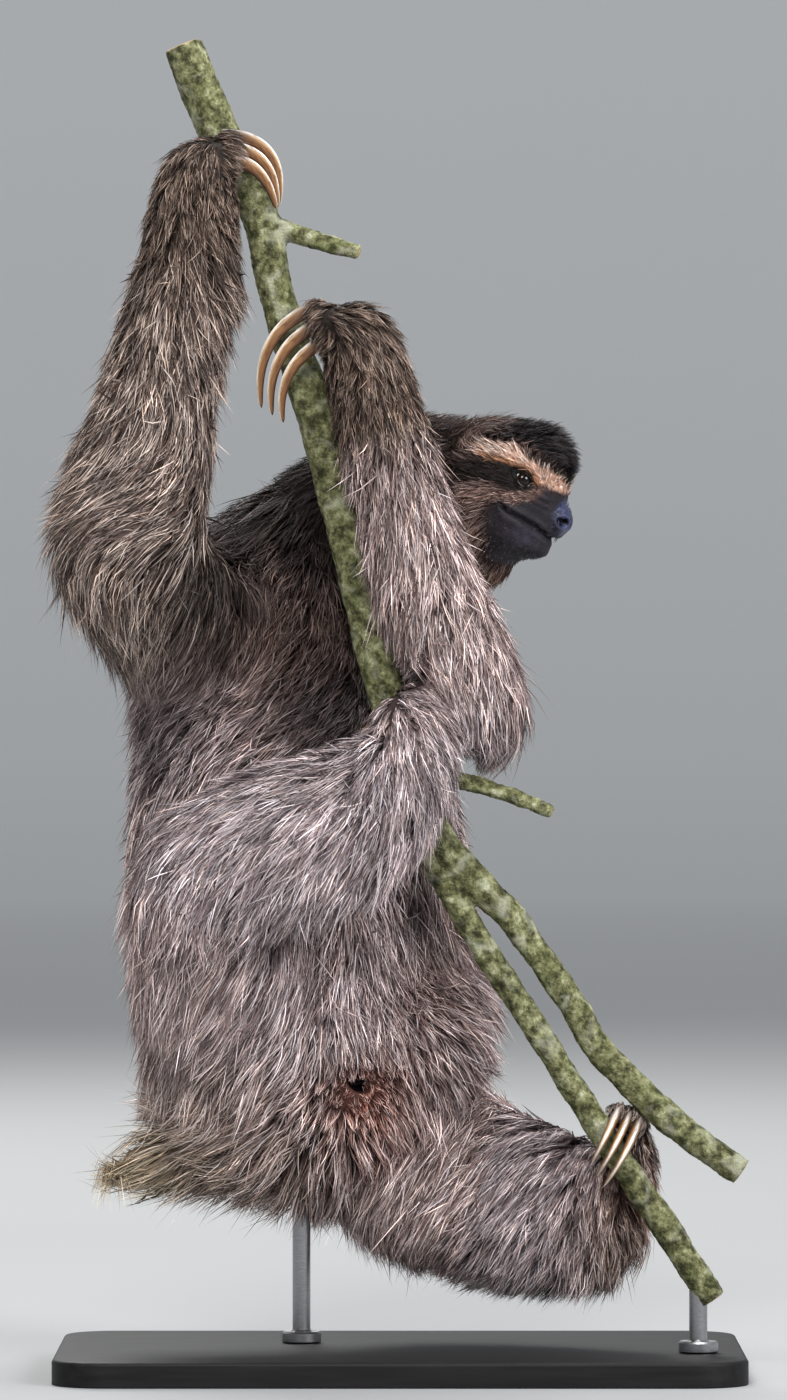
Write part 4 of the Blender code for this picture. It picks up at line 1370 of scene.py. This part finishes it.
def eye_finish():
    """Glass: a dark brown iris that nearly fills the opening, round a black pupil, under a clear gloss."""
    made, shader = finish("Glass eye, softly polished", Roughness=0.1, IOR=1.38)
    ring = add(shader, "Attribute", {}, attribute_name="Ring").outputs["Fac"]
    fleck = add(shader, "TexNoise", {"Scale": 900, "Detail": 2})
    turn = add(shader, "Math", {0: fleck, 1: 0.12, 2: ring}, operation="MULTIPLY_ADD")
    iris = ((0.36, 0x020101), (0.44, 0x160C08), (0.72, 0x21130D), (0.9, 0x080504), (1.0, 0x100A09))
    feed(shader, Base_Color=add(shader, "ValToRGB", {"Fac": turn}, iris))
    return made


def make_eyes():
    """Balls with a cornea that stands a little proud, and rings for the iris round the line of sight."""
    glass = eye_finish()
    for side, node in ((-1, "eye_right"), (1, "eye_left")):
        centre, sight, _, _ = eye_frame(side)
        bm = bmesh.new()
        bmesh.ops.create_icosphere(bm, subdivisions=5, radius=EYE_RADIUS)
        points = np.array([vertex.co for vertex in bm.verts])
        faces = [[v.index for v in face.verts] for face in bm.faces]
        bm.free()
        outward = unit(points) @ sight
        bulge = 1 + 0.05 * ease((outward - 0.72) / 0.2)
        placed = (points * bulge[:, None] + centre) @ HEAD[:3, :3].T + HEAD[:3, 3]
        eye = to_object(node + "_glass", placed, faces)
        angle = np.degrees(np.arccos(np.clip(outward, -1, 1)))
        store(eye.data, "Ring", np.clip(angle / RING_ANGLE, 0, 1)[:, None])
        dress(eye, glass, [node])


# ---- Claws ----


def claw_finish():
    """Old horn: tan, with a pale ridge, stained flanks and growth lines along it, worn smooth at the tip."""
    made, shader = finish("Claw horn, worn smooth", IOR=1.54, Specular_IOR_Level=0.35)
    place = add(shader, "Attribute", {}, attribute_name="Place").outputs["Color"]
    split = add(shader, "SeparateColor", {"Color": place})
    flank = ((0, 0x2E1E13), (0.25, 0x563A27), (0.5, 0x785437))
    ridge = ((0.78, 0x886442), (0.9, 0xBE9E74), (1, 0xD0B68E))
    base = add(shader, "ValToRGB", {"Fac": split.outputs["Red"]}, flank + ridge)
    # Stains about 6 mm long and 1 mm wide, with finer growth lines in them.
    lines = add(shader, "TexNoise", {"Vector": place, "Scale": 8, "Detail": 7, "Roughness": 0.65})
    stains = ((0.36, (0.4, 0.3, 0.24, 1)), (0.5, (0.9, 0.86, 0.82, 1)), (0.62, (1.1, 1.08, 1.05, 1)))
    stain = add(shader, "ValToRGB", {"Fac": lines}, stains)
    tone = add(shader, "Mix", {"Factor": 1, "A": base, "B": stain}, **MULTIPLIED)
    along = split.outputs["Green"]
    # Darker towards the root, where the claw goes into the skin.
    rootward_dark = add(shader, "MapRange", {"Value": along, "From Max": 0.3, "To Min": 0.75, "To Max": 0})
    rooted = add(shader, "Mix", {"Factor": rootward_dark, "A": tone, "B": rgba(0x3A2820)}, data_type="RGBA")
    rough = add(shader, "MapRange", {"Value": lines, "To Min": 0.36, "To Max": 0.6})
    bump = add(shader, "Bump", {"Height": lines, "Strength": 0.3, "Distance": 0.0003})
    feed(shader, Base_Color=rooted, Roughness=rough, Normal=bump)
    return made


def claw_shape(root, bulge, tip):
    """A claw's vertices and faces, and each vertex's place: from inner edge to ridge, along, and across."""
    shares = np.linspace(-CLAW_HELD, 1, CLAW_RINGS)[:, None]
    middle = claw_line(root, bulge, tip, shares)
    plane = unit(np.cross(bulge - root, tip - root))
    outer = unit(np.cross(unit(np.gradient(middle, axis=0)), plane))
    if outer[CLAW_RINGS // 2] @ (bulge - (root + tip) / 2) < 0:
        outer = -outer
    size = CLAW_TIP + (1 - CLAW_TIP) * (1 - np.clip(shares, 0, 1)) ** CLAW_TAPER
    turn = 2 * np.pi * np.arange(CLAW_SIDES) / CLAW_SIDES
    high = np.cos(turn)
    # The back of the claw is ridged, and its inner edge is hollow.
    deep = (high + 0.1 * np.maximum(high, 0) ** 8 + 0.12 * hill(high, -0.95, 0.25)) * CLAW_HEIGHT
    wide = np.sin(turn) * (1 - 0.16 * high) * CLAW_WIDTH
    vertices, places = [], []
    for ring in range(CLAW_RINGS):
        vertices.append(middle[ring] + size[ring] * (np.outer(deep, outer[ring]) + np.outer(wide, plane)))
        along = np.full(CLAW_SIDES, max(0, shares[ring, 0]))
        places.append(np.column_stack([(high + 1) / 2, along, np.sin(turn) / 2 + 0.5]))
    ends = range(CLAW_SIDES), range((CLAW_RINGS - 1) * CLAW_SIDES, CLAW_RINGS * CLAW_SIDES)
    return np.vstack(vertices), [*bands(CLAW_RINGS, CLAW_SIDES), *ends], np.vstack(places)


def make_claws():
    horn = claw_finish()
    for limb in CLAWS:
        for number, arc in enumerate(claws_of(limb), 1):
            name = f"claw_{limb}_{number}"
            vertices, faces, places = claw_shape(*arc)
            claw = outwards(to_object(name + "_horn", vertices, faces))
            store(claw.data, "Place", places)
            dress(claw, horn, [name])


# ---- Perch ----

BARK_VOXEL, BARK_SOFTENING = 1.3, 6
CUTS = (  # the saw cuts: a point on each and the way it faces
    ((-120, -45, 733), (-0.39, 0, 0.92)),
    ((188, -39, 113), (0.81, 0, -0.58)),
    ((172, -45, 43), (0.55, 0, -0.83)),
    ((-22, -49, 619), (0.95, -0.08, -0.27)),
    ((84, -40, 311), (0.93, 0.05, -0.36)),
)
CUT_RADIUS, CUT_DEPTH = 14, 3  # how far from a cut's point its face may reach, along it and across it
# The bark's ridges run up and down: (how high, then how often along x, y and z in each millimetre).
RIDGES = ((0.9, (0.12, 0.12, 0.045)), (0.45, (0.35, 0.35, 0.35)), (0.25, (0.9, 0.9, 0.9)))
KNOT_SPACING, KNOT_RARITY, KNOT_HEIGHT = 0.03, 0.32, 3.6


def bark_finish():
    """Living bark, grey-olive and rough, greened by moss in streaks and spotted with pale lichen."""
    made, shader = finish("Bark with moss and lichen", IOR=1.45, Specular_IOR_Level=0.3)
    place = add(shader, "TexCoord", {}).outputs["Object"]
    # The bark's grain is about 7 mm across, with finer grain in it.
    grain = add(shader, "TexNoise", {"Vector": place, "Scale": 150, "Detail": 9, "Roughness": 0.72})
    # The darkest and palest tones are partly cracks and pale bark, partly painted shade and painted light.
    tones = ((0.3, 0x12130A), (0.42, 0x45452C), (0.5, 0x74754F), (0.58, 0x9C9D74), (0.7, 0xDADBBC))
    bark = add(shader, "ValToRGB", {"Fac": grain}, tones)
    # Moss in patches about 20 mm across.
    moss = add(shader, "TexNoise", {"Vector": place, "Scale": 48, "Detail": 6, "Roughness": 0.6})
    mossy = add(shader, "MapRange", {"Value": moss, "From Min": 0.52, "From Max": 0.72, "To Max": 0.5})
    green = add(shader, "ValToRGB", {"Fac": grain}, ((0.3, 0x2A3014), (0.55, 0x5A6432), (0.75, 0x7F8A50)))
    greened = add(shader, "Mix", {"Factor": mossy, "A": bark, "B": green}, data_type="RGBA")
    # Lichen in crusts up to 14 mm across.
    spots = add(shader, "TexNoise", {"Vector": place, "Scale": 70, "Detail": 7, "Distortion": 0.8})
    lichen = add(shader, "MapRange", {"Value": spots, "From Min": 0.55, "From Max": 0.7, "To Max": 0.6})
    spotted = add(shader, "Mix", {"Factor": lichen, "A": greened, "B": rgba(0xC6C8B0)}, data_type="RGBA")
    # Growth rings about 1 mm apart on the saw cuts.
    ring = add(shader, "Attribute", {}, attribute_name="Ring").outputs["Fac"]
    rings = add(shader, "Math", {0: ring, 1: 90}, operation="MULTIPLY")
    wave = add(shader, "Math", {0: rings}, operation="SINE")
    wood = add(shader, "MapRange", {"Value": wave, "From Min": -1})
    face = add(shader, "ValToRGB", {"Fac": wood}, ((0.1, 0xB08C5E), (0.8, 0xD9BC8E)))
    cut = add(shader, "Attribute", {}, attribute_name="Cut").outputs["Fac"]
    whole = add(shader, "Mix", {"Factor": cut, "A": spotted, "B": face}, data_type="RGBA")
    fine = add(shader, "TexNoise", {"Vector": place, "Scale": 600, "Detail": 6, "Roughness": 0.7})
    height = add(shader, "Math", {0: grain, 1: fine}, operation="ADD")
    bump = add(shader, "Bump", {"Height": height, "Strength": 1, "Distance": 0.0018})
    rough = add(shader, "MapRange", {"Value": fine, "To Min": 0.7, "To Max": 0.95})
    feed(shader, Base_Color=whole, Normal=bump, Roughness=rough)
    return made


def make_perch():
    """The branch, its bark ridged and knotted, with flat saw cuts."""
    mesh = one_surface(gathered(["perch_branch"], 0.1), BARK_VOXEL, BARK_SOFTENING)
    points, normals = arrays(mesh)
    cut, ring = np.zeros(len(points)), np.zeros(len(points))
    for place, facing in CUTS:
        facing = unit(np.array(facing, float))
        off = points - place
        out = off @ facing
        away = np.linalg.norm(off - np.outer(out, facing), axis=1)
        face = (np.abs(out) < CUT_DEPTH) & (away < CUT_RADIUS) & (normals @ facing > 0.75)
        cut[face] = 1
        ring[face] = away[face] / CUT_RADIUS
    rise = np.empty(len(points))
    for i, point in enumerate(points):
        rise[i] = sum(high * noise.noise(Vector(point * often)) for high, often in RIDGES)
        knot = noise.noise(Vector((point[0] * KNOT_SPACING + 9, 3, point[2] * KNOT_SPACING)))
        rise[i] += KNOT_HEIGHT * max(0, knot - KNOT_RARITY)
    move_to(mesh, points + normals * (rise * (1 - cut))[:, None])
    mesh.shade_smooth()
    store(mesh, "Cut", cut[:, None])
    store(mesh, "Ring", ring[:, None])
    dress(linked("perch", mesh), bark_finish(), ["perch_branch"])


# ---- Stand ----

BASE_CORNER, BASE_EDGE, BASE_FOOT = 30, 2.2, 0.6  # radii of its corners and upper edge, its lower chamfer
CORNER_STEPS, EDGE_STEPS = 16, 8
ROD_RADIUS, ROD_SIDES = 5, 64
COLLAR_RADIUS, COLLAR_HEIGHT = 11, 6
SUNK = 15  # the body's rod goes on through the coat and into the skin


def base_finish():
    """Black satin lacquer on beech, in which the wood's grain shows faintly."""
    made, shader = finish("Lacquered beech, black satin", IOR=1.5, Specular_IOR_Level=0.15)
    place = add(shader, "TexCoord", {}).outputs["Object"]
    stretch = add(shader, "Mapping", {"Vector": place, "Scale": (6, 90, 90)})
    # The grain is about 4 mm wide.
    grain = add(shader, "TexNoise", {"Vector": stretch, "Scale": 3, "Detail": 6})
    tone = add(shader, "ValToRGB", {"Fac": grain}, ((0.3, 0x121213), (0.7, 0x1E1D1E)))
    rough = add(shader, "MapRange", {"Value": grain, "To Min": 0.46, "To Max": 0.6})
    bump = add(shader, "Bump", {"Height": grain, "Strength": 0.08, "Distance": 0.0004})
    feed(shader, Base_Color=tone, Roughness=rough, Normal=bump)
    return made


def make_base():
    """The base: a plate with round corners and a softly rounded upper edge."""
    high = np.array(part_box("stand_base")[1]) / MM
    rings = [(BASE_FOOT, 0), (0, BASE_FOOT)]
    for step in range(EDGE_STEPS + 1):
        angle = math.radians(90 * step / EDGE_STEPS)
        rings.append((BASE_EDGE * (1 - math.cos(angle)), high[2] - BASE_EDGE + BASE_EDGE * math.sin(angle)))
    vertices = []
    for inset, z in rings:
        for quarter, (sx, sy) in enumerate(((1, 1), (-1, 1), (-1, -1), (1, -1))):
            for step in range(CORNER_STEPS + 1):
                angle = math.radians(90 * (quarter + step / CORNER_STEPS))
                x = sx * (high[0] - BASE_CORNER) + (BASE_CORNER - inset) * math.cos(angle)
                y = sy * (high[1] - BASE_CORNER) + (BASE_CORNER - inset) * math.sin(angle)
                vertices.append((x, y, z))
    around = 4 * (CORNER_STEPS + 1)
    ends = range(around), range((len(rings) - 1) * around, len(rings) * around)
    base = outwards(to_object("stand_plate", vertices, [*bands(len(rings), around), *ends]))
    base.data.set_sharp_from_angle(angle=math.radians(40))
    dress(base, base_finish(), ["stand_base"])


def steel_finish():
    """Turned steel, brushed round and round, with a soft gleam."""
    made, shader = finish("Steel, brushed", Metallic=1, Anisotropic=0.5)
    place = add(shader, "TexCoord", {}).outputs["Object"]
    stretch = add(shader, "Mapping", {"Vector": place, "Scale": (300, 300, 4000)})
    # Scratches about 0.3 mm apart run round the rod.
    scratch = add(shader, "TexNoise", {"Vector": stretch, "Scale": 1, "Detail": 3})
    tone = add(shader, "ValToRGB", {"Fac": scratch}, ((0.3, 0x8E8E90), (0.7, 0xA9A9AB)))
    rough = add(shader, "MapRange", {"Value": scratch, "To Min": 0.24, "To Max": 0.4})
    feed(shader, Base_Color=tone, Roughness=rough)
    return made


def make_rods():
    """Steel rods: a collar with a chamfer and a fillet at the foot, and a straight shaft above it."""
    steel = steel_finish()
    for node, further in (("stand_rod_perch", 0), ("stand_rod_body", SUNK)):
        low, high = (np.array(corner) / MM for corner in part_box(node))
        foot, top = low[2], high[2] + further
        lip = foot + COLLAR_HEIGHT
        profile = [(0, foot), (COLLAR_RADIUS - 0.5, foot), (COLLAR_RADIUS, foot + 0.5)]
        profile += [(COLLAR_RADIUS, lip - 1), (COLLAR_RADIUS - 1, lip), (ROD_RADIUS + 1, lip)]
        profile += [(ROD_RADIUS, lip + 1), (ROD_RADIUS, top), (0, top)]
        vertices = [p for radius, z in profile for p in circle(radius, z, ROD_SIDES, (low + high) / 2)]
        rod = outwards(to_object(node + "_turned", vertices, bands(len(profile), ROD_SIDES)))
        rod.data.set_sharp_from_angle(angle=math.radians(35))
        dress(rod, steel, [node])


# ---- Studio ----

FLOOR_PROFILE = ((3, 0), (8, 0), (11, 0), (13, 0.25), (15, 1), (17, 2.4), (19, 4.6), (21, 8))  # metres
FLOOR_SIDES = 96
SKY, SKY_STRENGTH = (0.93, 0.96, 1.0, 1), 0.52
AIM = Vector((0, 0, 0.38))  # what the lamps point at, in metres
LAMPS = (  # each lamp's name, place and width in metres, power in watts and colour
    ("key", (-0.5, -2.8, 2.5), 0.9, 88, (1.0, 0.98, 0.96)),
    ("fill", (2.4, -2.3, 1.7), 1.3, 104, (0.98, 0.98, 1.0)),
    ("back", (-0.8, 2.6, 2.6), 1.6, 90, (1.0, 1.0, 0.97)),
    ("top", (0.3, 0.2, 3.2), 1.6, 60, (1.0, 1.0, 1.0)),
)
CAMERA_AWAY, FRAME_HEIGHT = 4.5, 0.77  # metres to the branch's plane, and what the view takes in there
CAMERA_X, CAMERA_Z = -0.0036, 0.373
SENSOR = 36


def floor_finish():
    """Matt paint, faintly clouded. Painted light: it pales away from the middle, where the lamps are
    brightest.
    """
    made, shader = finish("Studio floor, matt pale paint", Roughness=0.9, Specular_IOR_Level=0.2)
    place = add(shader, "TexCoord", {}).outputs["Object"]
    cloud = add(shader, "TexNoise", {"Vector": place, "Scale": 0.8, "Detail": 3})
    shrunk = add(shader, "Mapping", {"Vector": place, "Scale": (0.055, 0.055, 0.055)})
    middle = add(shader, "TexGradient", {"Vector": shrunk}, gradient_type="SPHERICAL").outputs["Fac"]
    share = add(shader, "Math", {0: cloud, 1: 0.03, 2: middle}, operation="MULTIPLY_ADD")
    tones = ((0.1, 0xE8E9E9), (0.5, 0xC6C7C7), (0.95, 0x9A9B9C))
    feed(shader, Base_Color=add(shader, "ValToRGB", {"Fac": share}, tones))
    return made


def make_floor():
    """A pale floor that sweeps up far away on every side."""
    vertices = [(0, 0, 0)]
    for radius, z in FLOOR_PROFILE:
        vertices += circle(radius / MM, z / MM, FLOOR_SIDES)
    faces = [(0, 1 + j, 1 + (j + 1) % FLOOR_SIDES) for j in range(FLOOR_SIDES)]
    for band in bands(len(FLOOR_PROFILE), FLOOR_SIDES):
        faces.append([1 + corner for corner in reversed(band)])
    floor = to_object("floor", vertices, faces)
    floor.data.materials.append(floor_finish())


def make_lights():
    world = bpy.data.worlds.new("Soft sky")
    world.use_nodes = True
    sky = world.node_tree.nodes["Background"]
    set_socket(sky.inputs["Color"], SKY)
    set_socket(sky.inputs["Strength"], SKY_STRENGTH)
    bpy.context.scene.world = world
    for name, spot, width, power, colour in LAMPS:
        light = bpy.data.lights.new(name, "AREA")
        light.size = width
        light.energy = power
        light.color = colour
        lamp = linked(name, light)
        lamp.location = spot
        lamp.rotation_euler = (AIM - Vector(spot)).to_track_quat("-Z", "Y").to_euler()


def make_camera():
    camera = bpy.data.cameras.new("camera")
    camera.sensor_width = SENSOR
    camera.lens = SENSOR * CAMERA_AWAY / FRAME_HEIGHT
    view = linked("camera", camera)
    view.location = (CAMERA_X, PERCH_Y * MM - CAMERA_AWAY, CAMERA_Z)
    view.rotation_euler = (math.radians(90), 0, 0)
    bpy.context.scene.camera = view
    bpy.context.scene.view_settings.view_transform = "Standard"
    bpy.context.scene.view_settings.look = "None"


make_coat(make_skin())
make_eyes()
make_claws()
make_perch()
make_base()
make_rods()
make_floor()
make_lights()
make_camera()
